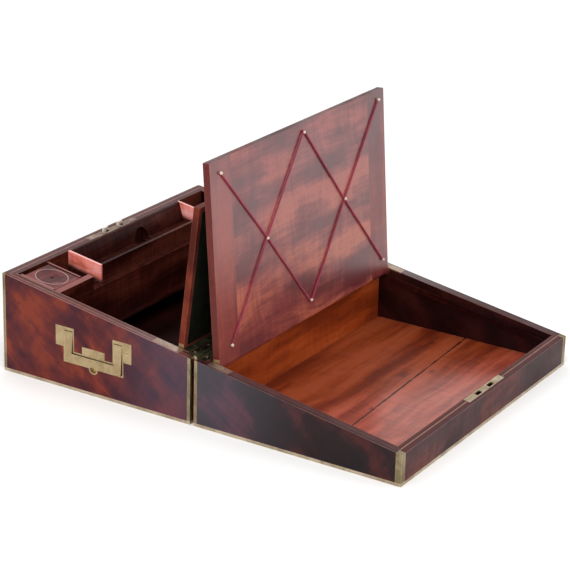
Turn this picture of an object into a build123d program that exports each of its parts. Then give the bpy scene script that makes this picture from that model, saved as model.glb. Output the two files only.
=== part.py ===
"""A brass-bound mahogany writing slope, lying open, in millimetres.

+X is the width, the writer sits at -Y and +Z is up. The origin is the middle of the
underside. The base stands at +Y, the lid lies open at -Y and their hinges are at y = 0.
A length measured in Y from the hinges is positive on both halves, and "side" says which
half it belongs to: BASE is +1 and LID is -1.
"""

import os
from math import cos, hypot, radians, sin

from build123d import *

os.makedirs("parts", exist_ok=True)

BASE = 1
LID = -1

# The case
case_width = 380.0
half_depth = 250.0
centre_gap = 5.0
middle_height = 75.0
slope_rise = 40.0
wall = 12.0
closing_clearance = 0.8
bottom_thickness = 7.0
bottom_rebate = 6.0
crack_narrow = 0.2
crack_wide = 1.2
crack_near_y = 150.0
crack_far_y = 131.5

# Brass binding, let in flush
edge_brass_height = 3.2
brass_thickness = 1.5
corner_brass_width = 3.6
corner_cap = 7.0
brass_joint = 0.1

# Hinges between the halves
hinge_x = 150.0
hinge_length = 70.0
knuckles = 5
knuckle_gap = 0.3
barrel_radius = 2.1
hinge_pin_radius = 1.0
neck_share = 0.45
leaf_thickness = 1.2
leaf_reach = 9.0
leaf_screw_spacing = 25.0
leaf_screw_share = 0.55

# Flaps that make the writing surface
front_flap_thickness = 8.0
rear_flap_thickness = 7.0
front_pivot_y = 22.3
rear_pivot_y = 23.6
front_rest_angle = 85.5
rear_rest_angle = 96.4
flap_side_gap = 0.8
flap_end_gap = 0.6
cleat_width = 37.5
tongue_length = 8.0
tongue_thickness = 3.0
velvet_thickness = 0.6
velvet_border = 6.0
rail_height = 10.0
rail_gap = 0.5
rail_velvet_width = 2.5
ledge_width = 3.0
ledge_height = 6.0
ledge_clearance = 0.4
ledge_start = 10.0
ledge_joint = 0.1

# Pivots of the flaps
pivot_pin_radius = 1.5
pivot_pin_in_wall = 2.5
pivot_plate_width = 10.0
pivot_ear = 5.0
pivot_screw_shares = (0.3, 0.75)
front_plate_reach = 20.7
rear_plate_reach = 29.0
flap_plate_length = 8.0
flap_plate_margin = 0.5

# Lattice for papers under the front flap, as (x, distance from the pivot)
cord_radius = 0.9
stud_shank_radius = 0.7
stud_head_radius = 1.9
stud_depth = 3.0
stud_lift = 0.05
cord_start = 1.7
studs = {
    "near_top": (-159.5, 205.8),
    "near_bottom": (-154.9, 17.7),
    "near_middle": (-78.7, 113.4),
    "centre_top": (1.6, 209.9),
    "centre_bottom": (3.5, 18.1),
    "far_middle": (82.6, 113.4),
    "far_top": (162.8, 209.2),
    "far_bottom": (163.5, 17.6),
}
cord_runs = [
    ("near_top", "near_middle"),
    ("near_middle", "centre_bottom"),
    ("near_bottom", "near_middle"),
    ("near_middle", "centre_top"),
    ("centre_top", "far_middle"),
    ("far_middle", "far_bottom"),
    ("centre_bottom", "far_middle"),
    ("far_middle", "far_top"),
]

# Pen row at the back of the base
row_depth = 54.0
shelf_z = 32.0
shelf_thickness = 4.0
front_panel_thickness = 8.0
ledge_z = 86.0
front_board_thickness = 7.5
front_board_drop = 3.0
near_board_length = 66.0
sander_room = 50.8
liner_thickness = 7.0
partition_thickness = 2.5
partition_drop = 2.0
divider_thickness = 4.0
tray_near_inset = 90.0
tray_far_inset = 48.0
tray_depth = 45.5
tray_plate = 3.0
tray_front_wall = 2.5
tray_floor = 4.5
tray_slope_foot = 9.5
tray_slope_top = 2.5
tray_corner_radius = 5.0
tray_front_radius = 2.5
arch_inset = 88.0
arch_radius = 13.5
arch_leg = 1.2
arch_back = 2.0
sander_gap = 0.3
sander_back_gap = 3.0
sander_drop = 3.0
sander_floor = 4.0
sander_bore = 15.0
dish_radius = 18.5
dish_thickness = 3.0
dish_rim = 0.9
dish_depth = 1.2
dish_hole = 2.0

# Carrying handles, one in each side of the base
handle_y = 129.0
handle_plate_thickness = 5.0
ear_outer = 50.5
ear_inner = 26.0
ear_top = 72.0
ear_bottom = 49.0
plate_half = 40.0
plate_bottom = 31.3
plate_inner_top = 45.3
tab_half = 15.0
tab_top = 53.8
tab_screw_share = 0.6
lip = 1.5
bail_thickness = 3.6
bail_gap = 0.3
bail_taper = 0.6
bail_foot_gap = 0.8
bail_bar_height = 9.2
bail_pivot_z = 66.0
bail_rest_angle = 4.0
handle_pin_radius = 1.0
handle_pin_outer = 44.0
finger_radius = 6.1
finger_wall = 1.4
finger_depth = 3.0

# Lock in the back wall and its strike in the lid
lock_plate_near = -44.8
lock_plate_far = 44.7
lock_plate_inset = 1.2
lock_plate_width = 6.6
lock_case_half = 30.0
lock_case_depth = 9.0
lock_case_height = 32.0
lock_wall = 1.2
bolt_inset = 2.7
bolt_thickness = 3.0
bolt_height = 6.0
bolt_half = 21.0
bolt_travel = 6.0
bolt_gap = 0.4
spring_foot_height = 8.0
spring_foot_width = 2.0
spring_sag = 1.0
spring_tip = 0.6
spring_reach = 4.0
talon_half = 3.0
talon_depth = 2.4
hook_places = (-15.0, 12.5)
hook_stem = 4.0
hook_lip = 4.0
hook_height = 5.0
hook_lip_thickness = 2.0
slot_gap = 0.6
strike_near = -38.0
strike_far = 42.0
strike_inset = 0.5
strike_width = 7.6
mortise_depth = 6.5
key_drop = 16.1
key_pin_radius = 1.0
key_bow_radius = 2.2
key_slot_half = 1.1
key_slot_length = 7.0
escutcheon_half = 6.0
escutcheon_height = 18.0
escutcheon_drop = 18.1

# Screws and running fits
screw_head_radius = 2.2
screw_head_height = 1.2
screw_shank_radius = 1.1
screw_length = 8.0
screw_slot = 0.5
screw_clearance = 0.05
running_clearance = 0.06
cut_past = 1.0

# Worked out from the sizes above
half_width = case_width / 2
inner_x = half_width - wall
facing_y = centre_gap / 2
outer_y = facing_y + half_depth
inner_front = facing_y + wall
inner_back = outer_y - wall
slope_rate = slope_rise / half_depth
slope_stretch = hypot(1, slope_rate)
hinge_z = middle_height + closing_clearance / 2
clear_top = 2 * middle_height
flap_half = inner_x - flap_side_gap
panel_half = flap_half - cleat_width
shelf_top = shelf_z + shelf_thickness
neck_in = facing_y - barrel_radius * neck_share
row_front = inner_back - row_depth
near_board_end = near_board_length - inner_x
partition_x = sander_room + partition_thickness - inner_x
tray_near_x = tray_near_inset - inner_x
tray_far_x = inner_x - tray_far_inset
tray_front = inner_back - tray_depth
arch_x = tray_far_x - arch_inset
lock_plate_y = inner_back + lock_plate_inset
bolt_y = inner_back + bolt_inset
strike_y = inner_back + strike_inset


def rim_z(side, length):
    """Height of the rim at a length from the hinges."""
    return middle_height + side * slope_rate * (length - facing_y)


def slope_drop(depth):
    """Height that a depth square to the slope takes up."""
    return depth * slope_stretch


def block(low, high, mode=Mode.ADD):
    """Box between two opposite corners."""
    middle = tuple((a + b) / 2 for a, b in zip(low, high))
    with Locations(middle):
        Box(*(abs(b - a) for a, b in zip(low, high)), mode=mode)


def prism_x(points, low, high, mode=Mode.ADD):
    """Outline of (y, z) points, carried along X."""
    with BuildSketch(Plane.YZ.offset(low)) as outline:
        with BuildLine():
            Polyline(*points, close=True)
        make_face()
    extrude(outline.sketch, amount=high - low, mode=mode)


def prism_z(points, low, high, mode=Mode.ADD):
    """Outline of (x, y) points, carried up."""
    with BuildSketch(Plane.XY.offset(low)) as outline:
        with BuildLine():
            Polyline(*points, close=True)
        make_face()
    extrude(outline.sketch, amount=high - low, mode=mode)


def rod_x(centre, radius, low, high, mode=Mode.ADD):
    """Round rod along X about a (y, z) centre."""
    with BuildSketch(Plane.YZ.offset(low)) as circle:
        with Locations(centre):
            Circle(radius)
    extrude(circle.sketch, amount=high - low, mode=mode)


def rod_y(centre, radius, low, high, mode=Mode.ADD):
    """Round rod along Y about an (x, z) centre."""
    with BuildSketch(Plane.XZ.offset(-low)) as circle:
        with Locations(centre):
            Circle(radius)
    extrude(circle.sketch, amount=low - high, mode=mode)


def rim_slab(side, x_span, y_span, depth, proud=0.0, mode=Mode.ADD):
    """Slab let into a rim, its top on the rim's slope."""
    lean = slope_rate / slope_stretch
    profile = []
    for offset, lengths in ((proud, y_span), (-depth, reversed(y_span))):
        for length in lengths:
            y = side * length - lean * offset
            profile.append((y, rim_z(side, length) + offset / slope_stretch))
    prism_x(profile, x_span[0], x_span[1], mode)


def rim_plane(side):
    """Plane of a half's rim, its normal pointing up."""
    return Plane(
        origin=(0, side * facing_y, middle_height),
        x_dir=(1, 0, 0),
        z_dir=(0, -slope_rate, 1),
    )


def trim_to_rim(side, depth=0.0):
    """Cut off what stands above a half's rim, or above a depth under it."""
    split(bisect_by=rim_plane(side).offset(-depth), keep=Keep.BOTTOM)


def rim_location(side, x, length):
    """Place on the rim, its Z axis square to the slope."""
    point = (x, side * length, rim_z(side, length))
    return Plane(origin=point, x_dir=(1, 0, 0), z_dir=(0, -slope_rate, 1)).location


def add_screws(places):
    """Countersunk screws with slotted heads, heads at the places."""
    top = (Align.CENTER, Align.CENTER, Align.MAX)
    with Locations(*places):
        Cone(screw_shank_radius, screw_head_radius, screw_head_height, align=top)
        Cylinder(screw_shank_radius, screw_length, align=top)
        Box(3 * screw_head_radius, screw_slot, 2 * screw_slot, mode=Mode.SUBTRACT)


def cut_screw_holes(places):
    """Holes that the screws of add_screws fit."""
    top = (Align.CENTER, Align.CENTER, Align.MAX)
    hole = screw_shank_radius + screw_clearance
    head = screw_head_radius + screw_clearance
    with Locations(*places):
        Cone(hole, head, screw_head_height, align=top, mode=Mode.SUBTRACT)
        Cylinder(hole, screw_length + screw_clearance, align=top, mode=Mode.SUBTRACT)


def write(piece, name):
    """Label a finished piece and write its file."""
    piece.part.label = name
    export_step(piece.part, f"parts/{name}.step")


def mirrored(piece):
    """The same piece on the far side of the case."""
    with BuildPart() as other:
        mirror(piece.part, about=Plane.YZ)
    return other


# ---------------------------------------------------------------- brass binding


def edge_strips(side, joint, mode=Mode.ADD):
    """Four mitred strips round the bottom edges of one half."""
    x, near, far, t = half_width, side * facing_y, side * outer_y, brass_thickness
    step = side * t
    long_cut = t + joint
    for y, inward in ((near, step), (far, -step)):
        ends = [(-x + joint, y), (x - joint, y), (x - long_cut, y + inward), (-x + long_cut, y + inward)]
        prism_z(ends, 0, edge_brass_height, mode)
    cut = side * joint
    for sign in (-1, 1):
        outer, inner = sign * x, sign * (x - t)
        ends = [(outer, near + cut), (outer, far - cut)]
        ends += [(inner, far - step - cut), (inner, near + step + cut)]
        prism_z(ends, 0, edge_brass_height, mode)


def corner_strips(side, mode=Mode.ADD):
    """Four angle strips up the corners of one half, cut to the rim, with caps on the lid."""
    for sign in (-1, 1):
        for length, inward in ((facing_y, 1), (outer_y, -1)):
            x = sign * half_width
            y = side * length
            width = corner_cap if side == LID and length == outer_y else corner_brass_width
            x_thin, x_wide = x - sign * brass_thickness, x - sign * width
            y_thin = y + side * inward * brass_thickness
            y_wide = y + side * inward * width
            plan = [(x, y), (x_wide, y), (x_wide, y_thin), (x_thin, y_thin), (x_thin, y_wide), (x, y_wide)]
            prism_z(plan, edge_brass_height, clear_top, mode)


def corner_caps(mode=Mode.ADD):
    """Square caps on the rim at the lid's outer corners."""
    for sign in (-1, 1):
        spans = sorted((sign * half_width, sign * (half_width - corner_cap)))
        rim_slab(LID, spans, (outer_y - corner_cap, outer_y), brass_thickness, mode=mode)


# ---------------------------------------------------------------- places that pieces share

leaf_spans = [(sign * hinge_x - hinge_length / 2, sign * hinge_x + hinge_length / 2) for sign in (-1, 1)]


def leaf_screw_places(side):
    """Screws of both hinge leaves of one half."""
    length = facing_y + leaf_reach * leaf_screw_share
    return [
        rim_location(side, sign * hinge_x + step * leaf_screw_spacing, length)
        for sign in (-1, 1)
        for step in (-1, 0, 1)
    ]


def pivot_of(side):
    """Length, height and plate reach of a half's flap pivot, and its flap's thickness."""
    if side == BASE:
        length, thickness, reach = rear_pivot_y, rear_flap_thickness, rear_plate_reach
    else:
        length, thickness, reach = front_pivot_y, front_flap_thickness, front_plate_reach
    return length, rim_z(side, length) - slope_drop(thickness / 2), reach, thickness


def pivot_screw_places(side):
    """Two screws in each pivot plate of one half."""
    length, _, reach, _ = pivot_of(side)
    start = length + pivot_ear
    return [
        rim_location(side, sign * (inner_x + pivot_plate_width / 2), start + share * (reach - pivot_ear))
        for sign in (-1, 1)
        for share in pivot_screw_shares
    ]


def pivot_plate(side, sign, proud=0.0, mode=Mode.ADD):
    """Angle plate: one leg on the rim, an ear down the inside of the wall."""
    length, height, reach, _ = pivot_of(side)
    x_span = sorted((sign * inner_x, sign * (inner_x + pivot_plate_width)))
    rim_slab(side, x_span, (length - pivot_ear, length + reach), brass_thickness, proud, mode)
    ear_span = sorted((sign * inner_x, sign * (inner_x + brass_thickness)))
    rod_x((side * length, height), pivot_ear, ear_span[0], ear_span[1], mode)
    top = [(side * step, rim_z(side, step)) for step in (length - pivot_ear, length + pivot_ear)]
    ear = top + [(side * (length + pivot_ear), height), (side * (length - pivot_ear), height)]
    prism_x(ear, ear_span[0], ear_span[1], mode)


def handle_outline(thickness, mode=Mode.ADD):
    """The near handle's plate, from the wall's face inwards."""
    right = [
        (ear_inner, ear_top),
        (ear_outer, ear_top),
        (ear_outer, ear_bottom),
        (plate_half, ear_bottom),
        (plate_half, plate_bottom),
    ]
    middle = [(ear_inner, plate_inner_top), (tab_half, plate_inner_top), (tab_half, tab_top)]
    corners = right + [(-u, z) for u, z in reversed(right)]
    corners += [(-u, z) for u, z in middle] + list(reversed(middle))
    prism_x([(handle_y + u, z) for u, z in corners], -half_width, -half_width + thickness, mode)
    rod_x((handle_y, plate_bottom), finger_radius, -half_width, -half_width + thickness, mode)


def handle_screw_places():
    """Screws of the near handle's plate, heads outwards."""
    spots = [(sign * (ear_outer + plate_half) / 2, (ear_top + ear_bottom) / 2) for sign in (-1, 1)]
    spots += [(sign * tab_half * tab_screw_share, (plate_inner_top + tab_top) / 2) for sign in (-1, 1)]
    return [
        Plane(origin=(-half_width, handle_y + u, z), x_dir=(0, 1, 0), z_dir=(-1, 0, 0)).location
        for u, z in spots
    ]


def hook_slots(side, low, high, y_span, travel_past=0.0, mode=Mode.SUBTRACT):
    """Slots for the hooks' way in and travel, between two heights."""
    for place in hook_places:
        start = place - hook_stem / 2 - slot_gap
        end = place + hook_stem / 2 + bolt_travel + slot_gap + travel_past
        block((start, side * y_span[0], low), (end, side * y_span[1], high), mode)


def lock_screw_places():
    """Screws through the lock's face plate."""
    length = lock_plate_y + lock_plate_width / 2
    margin = (half_width - inner_x) / 2
    return [rim_location(BASE, x, length) for x in (lock_plate_near + margin, lock_plate_far - margin)]


def strike_screw_places():
    """Screws through the strike plate."""
    length = strike_y + strike_width / 2
    margin = (half_width - inner_x) / 2
    return [rim_location(LID, x, length) for x in (strike_near + margin, strike_far - margin)]


# ---------------------------------------------------------------- case boards


def bottom_span(side):
    """Y limits of a half's bottom board, in order."""
    return sorted((side * (inner_front - bottom_rebate), side * (inner_back + bottom_rebate)))


def cut_common(side):
    """Cuts that every wall of one half shares: rim, bottom rebate and brass."""
    trim_to_rim(side)
    reach = inner_x + bottom_rebate
    low, high = bottom_span(side)
    block((-reach, low, 0), (reach, high, bottom_thickness), Mode.SUBTRACT)
    edge_strips(side, 0.0, Mode.SUBTRACT)
    corner_strips(side, Mode.SUBTRACT)
    if side == LID:
        corner_caps(Mode.SUBTRACT)


def cut_leaf_seats(side):
    """Seats of the hinge leaves in one half's rim."""
    for span in leaf_spans:
        rim_slab(side, span, (neck_in, facing_y + leaf_reach), leaf_thickness, cut_past, Mode.SUBTRACT)


def end_plan(side, length, inward):
    """Plan of a mitred end board whose outer face is at a length."""
    y, y_in = side * length, side * (length + inward * wall)
    return [(-half_width, y), (half_width, y), (inner_x, y_in), (-inner_x, y_in)]


def side_wall(side):
    """Near side board of one half."""
    top = clear_top
    length, height, _, _ = pivot_of(side)
    plan = [
        (-half_width, side * facing_y),
        (-half_width, side * outer_y),
        (-inner_x, side * inner_back),
        (-inner_x, side * inner_front),
    ]
    with BuildPart() as board:
        prism_z(plan, 0, top)
        cut_common(side)
        cut_leaf_seats(side)
        pivot_plate(side, -1, proud=cut_past, mode=Mode.SUBTRACT)
        deep = -inner_x - brass_thickness - pivot_pin_in_wall - flap_end_gap
        rod_x((side * length, height), pivot_pin_radius + flap_end_gap, deep, -inner_x, Mode.SUBTRACT)
        cut_screw_holes(pivot_screw_places(side))
        if side == BASE:
            handle_outline(handle_plate_thickness, Mode.SUBTRACT)
            cut_screw_holes(handle_screw_places())
    return board


def facing_wall(side):
    """Board that carries the hinges and faces the other half."""
    with BuildPart() as board:
        prism_z(end_plan(side, facing_y, 1), 0, clear_top)
        cut_common(side)
        cut_leaf_seats(side)
        cut_screw_holes(leaf_screw_places(side))
        velvet = (inner_front - rail_velvet_width, inner_front + wall)
        rim_slab(side, (-inner_x, inner_x), velvet, velvet_thickness, cut_past, Mode.SUBTRACT)
    return board


near_board = {side: side_wall(side) for side in (BASE, LID)}
write(near_board[BASE], "base_near_side")
write(near_board[LID], "lid_near_side")
write(mirrored(near_board[BASE]), "base_far_side")
write(mirrored(near_board[LID]), "lid_far_side")
write(facing_wall(BASE), "base_front_wall")
write(facing_wall(LID), "lid_back_wall")

with BuildPart() as base_bottom:
    low, high = bottom_span(BASE)
    block((-inner_x - bottom_rebate, low, 0), (inner_x + bottom_rebate, high, bottom_thickness))
write(base_bottom, "base_bottom_board")

with BuildPart() as lid_floor:
    low, high = bottom_span(LID)
    reach = inner_x + bottom_rebate
    back_board = [(-reach, high), (reach, high), (reach, -crack_far_y), (-reach, -crack_near_y)]
    front_board = [(-reach, low), (reach, low), (reach, -crack_far_y - crack_wide)]
    front_board += [(-reach, -crack_near_y - crack_narrow)]
    prism_z(back_board, 0, bottom_thickness)
    prism_z(front_board, 0, bottom_thickness)
write(lid_floor, "lid_floor_boards")

for side, half in ((BASE, "base"), (LID, "lid")):
    with BuildPart() as edge_brass:
        edge_strips(side, brass_joint / 2)
    write(edge_brass, f"{half}_edge_brass")
    with BuildPart() as corner_brass:
        corner_strips(side)
        trim_to_rim(side)
        if side == LID:
            corner_caps()
    write(corner_brass, f"{half}_corner_brass")

# ---------------------------------------------------------------- lock

lock_plate_span = (lock_plate_y, lock_plate_y + lock_plate_width)
case_back = inner_back + lock_case_depth
case_top = rim_z(BASE, inner_back)
key_z = case_top - key_drop
escutcheon_z = case_top - escutcheon_drop
case_bottom = case_top - lock_case_height
bolt_top = rim_z(BASE, bolt_y) - slope_drop(brass_thickness) - bolt_gap
bolt_bottom = bolt_top - bolt_height
hook_y = (bolt_y, bolt_y + bolt_thickness)
slot_y = (bolt_y - slot_gap, bolt_y + bolt_thickness + 2 * slot_gap)
hook_top = rim_z(BASE, hook_y[1]) + hook_height


def lock_pocket(low_half, low_y, high_y, bottom, top, mode=Mode.SUBTRACT):
    """Block centred on the lock."""
    block((-low_half, low_y, bottom), (low_half, high_y, top), mode)


def keyhole(low_y, high_y):
    """Key-shaped hole through what stands between two Y values."""
    rod_y((0, key_z), key_bow_radius, low_y, high_y, Mode.SUBTRACT)
    low, high = (-key_slot_half, low_y, key_z - key_slot_length), (key_slot_half, high_y, key_z)
    block(low, high, Mode.SUBTRACT)


with BuildPart() as back_wall:
    prism_z(end_plan(BASE, outer_y, -1), 0, clear_top)
    cut_common(BASE)
    plate_x = (lock_plate_near, lock_plate_far)
    rim_slab(BASE, plate_x, lock_plate_span, brass_thickness, cut_past, Mode.SUBTRACT)
    lock_pocket(lock_case_half, inner_back, case_back, case_bottom, clear_top)
    cut_screw_holes(lock_screw_places())
    keyhole(case_back, outer_y)
    escutcheon_low = (-escutcheon_half, outer_y - brass_thickness, escutcheon_z - escutcheon_height / 2)
    escutcheon_high = (escutcheon_half, outer_y, escutcheon_z + escutcheon_height / 2)
    block(escutcheon_low, escutcheon_high, Mode.SUBTRACT)
write(back_wall, "base_back_wall")

with BuildPart() as lock_case:
    lock_pocket(lock_case_half, inner_back + lock_wall, case_back, case_bottom, case_top, Mode.ADD)
    trim_to_rim(BASE, brass_thickness)
    hollow_half = lock_case_half - lock_wall
    lock_pocket(
        hollow_half, inner_back, case_back - lock_wall, case_bottom + lock_wall, clear_top
    )
    keyhole(case_back - lock_wall, case_back)
    rim_slab(BASE, plate_x, lock_plate_span, brass_thickness)
    hook_slots(BASE, case_bottom, hook_top, slot_y)
    cut_screw_holes(lock_screw_places())
write(lock_case, "lock_case")

with BuildPart() as lock_cap:
    lock_pocket(lock_case_half, inner_back, inner_back + lock_wall, case_bottom, clear_top, Mode.ADD)
    trim_to_rim(BASE)
write(lock_cap, "lock_cap")

with BuildPart() as key_pin:
    rod_y((0, key_z), key_pin_radius, inner_back + lock_wall, case_back - lock_wall + brass_thickness)
write(key_pin, "lock_key_pin")

with BuildPart() as lock_bolt:
    block((-bolt_half, bolt_y, bolt_bottom), (bolt_half - bolt_gap, hook_y[1], bolt_top))
    talon_top = bolt_bottom + talon_depth
    block((-talon_half, bolt_y, bolt_bottom), (talon_half, hook_y[1], talon_top), Mode.SUBTRACT)
    for place in hook_places:
        stem_low, stem_high = place - hook_stem / 2, place + hook_stem / 2
        block((stem_low, bolt_y, talon_top), (stem_high, hook_y[1], hook_top))
        lip_low = (stem_low, bolt_y, hook_top - hook_lip_thickness)
        block(lip_low, (stem_high + hook_lip, hook_y[1], hook_top))
write(lock_bolt, "lock_bolt")

with BuildPart() as lock_spring:
    spring_left = -lock_case_half + lock_wall
    spring_top = bolt_bottom - running_clearance
    spring_right = -talon_half - spring_reach
    leaf = [
        (spring_left, spring_top - spring_foot_height),
        (spring_left + spring_foot_width, spring_top - spring_foot_height),
        (spring_left + spring_foot_width, spring_top - 2 * spring_sag),
        (spring_right, spring_top - spring_tip),
        (spring_right, spring_top),
        (spring_left + spring_sag, spring_top - spring_sag),
        (spring_left, spring_top - spring_sag),
    ]
    with BuildSketch(Plane.XZ.offset(-hook_y[1])) as spring_side:
        with BuildLine():
            Polyline(*leaf, close=True)
        make_face()
    extrude(spring_side.sketch, amount=bolt_thickness)
write(lock_spring, "lock_spring")

with BuildPart() as escutcheon:
    block(escutcheon_low, escutcheon_high)
    keyhole(outer_y - brass_thickness, outer_y)
write(escutcheon, "keyhole_escutcheon")

strike_span = (strike_y, strike_y + strike_width)
mortise_low = rim_z(LID, outer_y) - mortise_depth

with BuildPart() as thin_end:
    prism_z(end_plan(LID, outer_y, -1), 0, middle_height)
    cut_common(LID)
    rim_slab(LID, (strike_near, strike_far), strike_span, brass_thickness, cut_past, Mode.SUBTRACT)
    hook_slots(LID, mortise_low, middle_height, slot_y, hook_lip)
    cut_screw_holes(strike_screw_places())
write(thin_end, "lid_thin_end")

with BuildPart() as strike:
    rim_slab(LID, (strike_near, strike_far), strike_span, brass_thickness)
    hook_slots(LID, mortise_low, middle_height, slot_y)
    cut_screw_holes(strike_screw_places())
write(strike, "strike_plate")

# ---------------------------------------------------------------- hinges between the halves

pitch = hinge_length / knuckles


def hinge_leaves(side):
    """Both hinge leaves of one half, with every other knuckle."""
    first = 0 if side == BASE else 1
    with BuildPart() as leaves:
        for span in leaf_spans:
            rim_slab(side, span, (facing_y, facing_y + leaf_reach), leaf_thickness)
            for index in range(first, knuckles, 2):
                low = span[0] + index * pitch + (knuckle_gap / 2 if index else 0)
                high = span[0] + (index + 1) * pitch - (knuckle_gap / 2 if index < knuckles - 1 else 0)
                rod_x((0, hinge_z), barrel_radius, low, high)
                rim_slab(side, (low, high), (neck_in, facing_y), leaf_thickness)
                rod_x((0, hinge_z), hinge_pin_radius + running_clearance, low, high, Mode.SUBTRACT)
        cut_screw_holes(leaf_screw_places(side))
    return leaves


write(hinge_leaves(BASE), "base_hinge_leaves")
write(hinge_leaves(LID), "lid_hinge_leaves")

with BuildPart() as hinge_pins:
    for span in leaf_spans:
        rod_x((0, hinge_z), hinge_pin_radius, span[0], span[1])
write(hinge_pins, "hinge_pins")

# ---------------------------------------------------------------- rails, ledges and pivots

for side, half in ((BASE, "base"), (LID, "lid")):
    length, height, reach, thickness = pivot_of(side)
    rail_end = length - thickness / 2 - rail_gap
    velvet_span = (inner_front - rail_velvet_width, rail_end)

    with BuildPart() as centre_rail:
        low = (-inner_x, side * inner_front, middle_height - rail_height)
        block(low, (inner_x, side * rail_end, middle_height + rail_height))
        trim_to_rim(side)
        rim_slab(side, (-inner_x, inner_x), velvet_span, velvet_thickness, cut_past, Mode.SUBTRACT)
    write(centre_rail, f"{half}_centre_rail")

    with BuildPart() as rail_velvet:
        rim_slab(side, (-inner_x, inner_x), velvet_span, velvet_thickness)
    write(rail_velvet, f"{half}_rail_velvet")

    ledge_end = row_front if side == BASE else inner_back
    ledge_top = thickness + ledge_clearance
    with BuildPart() as ledges:
        for sign in (-1, 1):
            x_span = sorted((sign * inner_x, sign * (inner_x - ledge_width)))
            rim_slab(side, x_span, (length + ledge_start, ledge_end), ledge_top + ledge_height)
        if side == LID:
            end_x = inner_x - ledge_width - ledge_joint
            end_span = (inner_back - ledge_width, inner_back)
            rim_slab(side, (-end_x, end_x), end_span, ledge_top + ledge_height)
        block((-inner_x, side * ledge_end, 0), (inner_x, side * outer_y, clear_top), Mode.SUBTRACT)
        trim_to_rim(side, ledge_top)
    write(ledges, f"{half}_flap_ledges")

    with BuildPart() as plates:
        for sign in (-1, 1):
            pivot_plate(side, sign)
        trim_to_rim(side)
        bore = pivot_pin_radius + running_clearance
        rod_x((side * length, height), bore, -half_width, half_width, Mode.SUBTRACT)
        cut_screw_holes(pivot_screw_places(side))
    write(plates, f"{half}_pivot_plates")

    lock_places = lock_screw_places() if side == BASE else strike_screw_places()
    with BuildPart() as rim_screws:
        add_screws(leaf_screw_places(side) + pivot_screw_places(side) + lock_places)
    write(rim_screws, f"{half}_rim_screws")

# ---------------------------------------------------------------- flaps


def flap_plane(side):
    """Plane through a flap's pivot at rest: X along the pivot, Y up the flap."""
    length, height, _, _ = pivot_of(side)
    angle = radians(rear_rest_angle if side == BASE else front_rest_angle)
    normal = (0, -sin(angle), cos(angle))
    return Plane(origin=(0, side * length, height), x_dir=(1, 0, 0), z_dir=normal)


def flap_slab(plane, x_span, u_span, w_span, mode=Mode.ADD):
    """Slab in a flap's plane: x along the pivot, u up the flap, w square to it."""
    middle = ((x_span[0] + x_span[1]) / 2, (u_span[0] + u_span[1]) / 2)
    with BuildSketch(plane.offset(w_span[0])) as face:
        with Locations(middle):
            Rectangle(x_span[1] - x_span[0], u_span[1] - u_span[0])
    extrude(face.sketch, amount=w_span[1] - w_span[0], mode=mode)


def flap_board(side, flap_length, x_span):
    """Board with a half-round edge about the pivot, in the part being built."""
    length, height, _, thickness = pivot_of(side)
    half = thickness / 2
    flap_slab(flap_plane(side), x_span, (0, flap_length), (-half, half))
    rod_x((side * length, height), half, x_span[0], x_span[1])


def flap_end_plate(side, sign, mode=Mode.ADD):
    """Brass plate let into a flap's end, about its pivot."""
    length, height, _, thickness = pivot_of(side)
    half = thickness / 2 - flap_plate_margin
    x_span = sorted((sign * (flap_half - brass_thickness), sign * flap_half))
    flap_slab(flap_plane(side), x_span, (0, flap_plate_length), (-half, half), mode)
    rod_x((side * length, height), half, x_span[0], x_span[1], mode)


def flap_pivots(side):
    """Both end plates of a flap, with their pins."""
    length, height, _, _ = pivot_of(side)
    tip = inner_x + brass_thickness + pivot_pin_in_wall
    with BuildPart() as pivots:
        for sign in (-1, 1):
            flap_end_plate(side, sign)
            low, high = sorted((sign * (flap_half - brass_thickness), sign * tip))
            rod_x((side * length, height), pivot_pin_radius, low, high)
    return pivots


def velvet_panel(side, flap_length, face, mode=Mode.ADD):
    """Velvet let into a flap's writing face; face is +1 or -1 along the flap's normal."""
    half = pivot_of(side)[3] / 2
    x = flap_half - velvet_border
    w_span = sorted((face * half, face * (half - velvet_thickness)))
    flap_slab(flap_plane(side), (-x, x), (velvet_border, flap_length - velvet_border), w_span, mode)


def flap_length_to(side, end):
    """Length from pivot to end that leaves the end gap, shut or open, in front of an upright face."""
    length, _, _, thickness = pivot_of(side)
    return (end - flap_end_gap - length) * slope_stretch - thickness / 2 * slope_rate


front_flap_length = flap_length_to(LID, inner_back)
rear_flap_length = flap_length_to(BASE, row_front)
front_plane = flap_plane(LID)
front_half = front_flap_thickness / 2
tongue_w = (-tongue_thickness / 2, tongue_thickness / 2)
stud_face = front_half + 2 * cord_radius + stud_lift

with BuildPart() as rear_board:
    flap_board(BASE, rear_flap_length, (-flap_half, flap_half))
    velvet_panel(BASE, rear_flap_length, 1, Mode.SUBTRACT)
    for sign in (-1, 1):
        flap_end_plate(BASE, sign, Mode.SUBTRACT)
write(rear_board, "rear_flap_board")

with BuildPart() as rear_velvet:
    velvet_panel(BASE, rear_flap_length, 1)
write(rear_velvet, "rear_flap_velvet")
write(flap_pivots(BASE), "rear_flap_pivots")


def cut_stud_holes():
    """Blind holes for the studs' shanks."""
    with BuildSketch(front_plane.offset(front_half - stud_depth)) as holes:
        with Locations(*studs.values()):
            Circle(stud_shank_radius)
    extrude(holes.sketch, amount=stud_depth, mode=Mode.SUBTRACT)


with BuildPart() as front_panel:
    flap_board(LID, front_flap_length, (-panel_half, panel_half))
    reach = panel_half + tongue_length
    flap_slab(front_plane, (-reach, reach), (0, front_flap_length), tongue_w)
    velvet_panel(LID, front_flap_length, -1, Mode.SUBTRACT)
    cut_stud_holes()
write(front_panel, "front_flap_panel")

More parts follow.
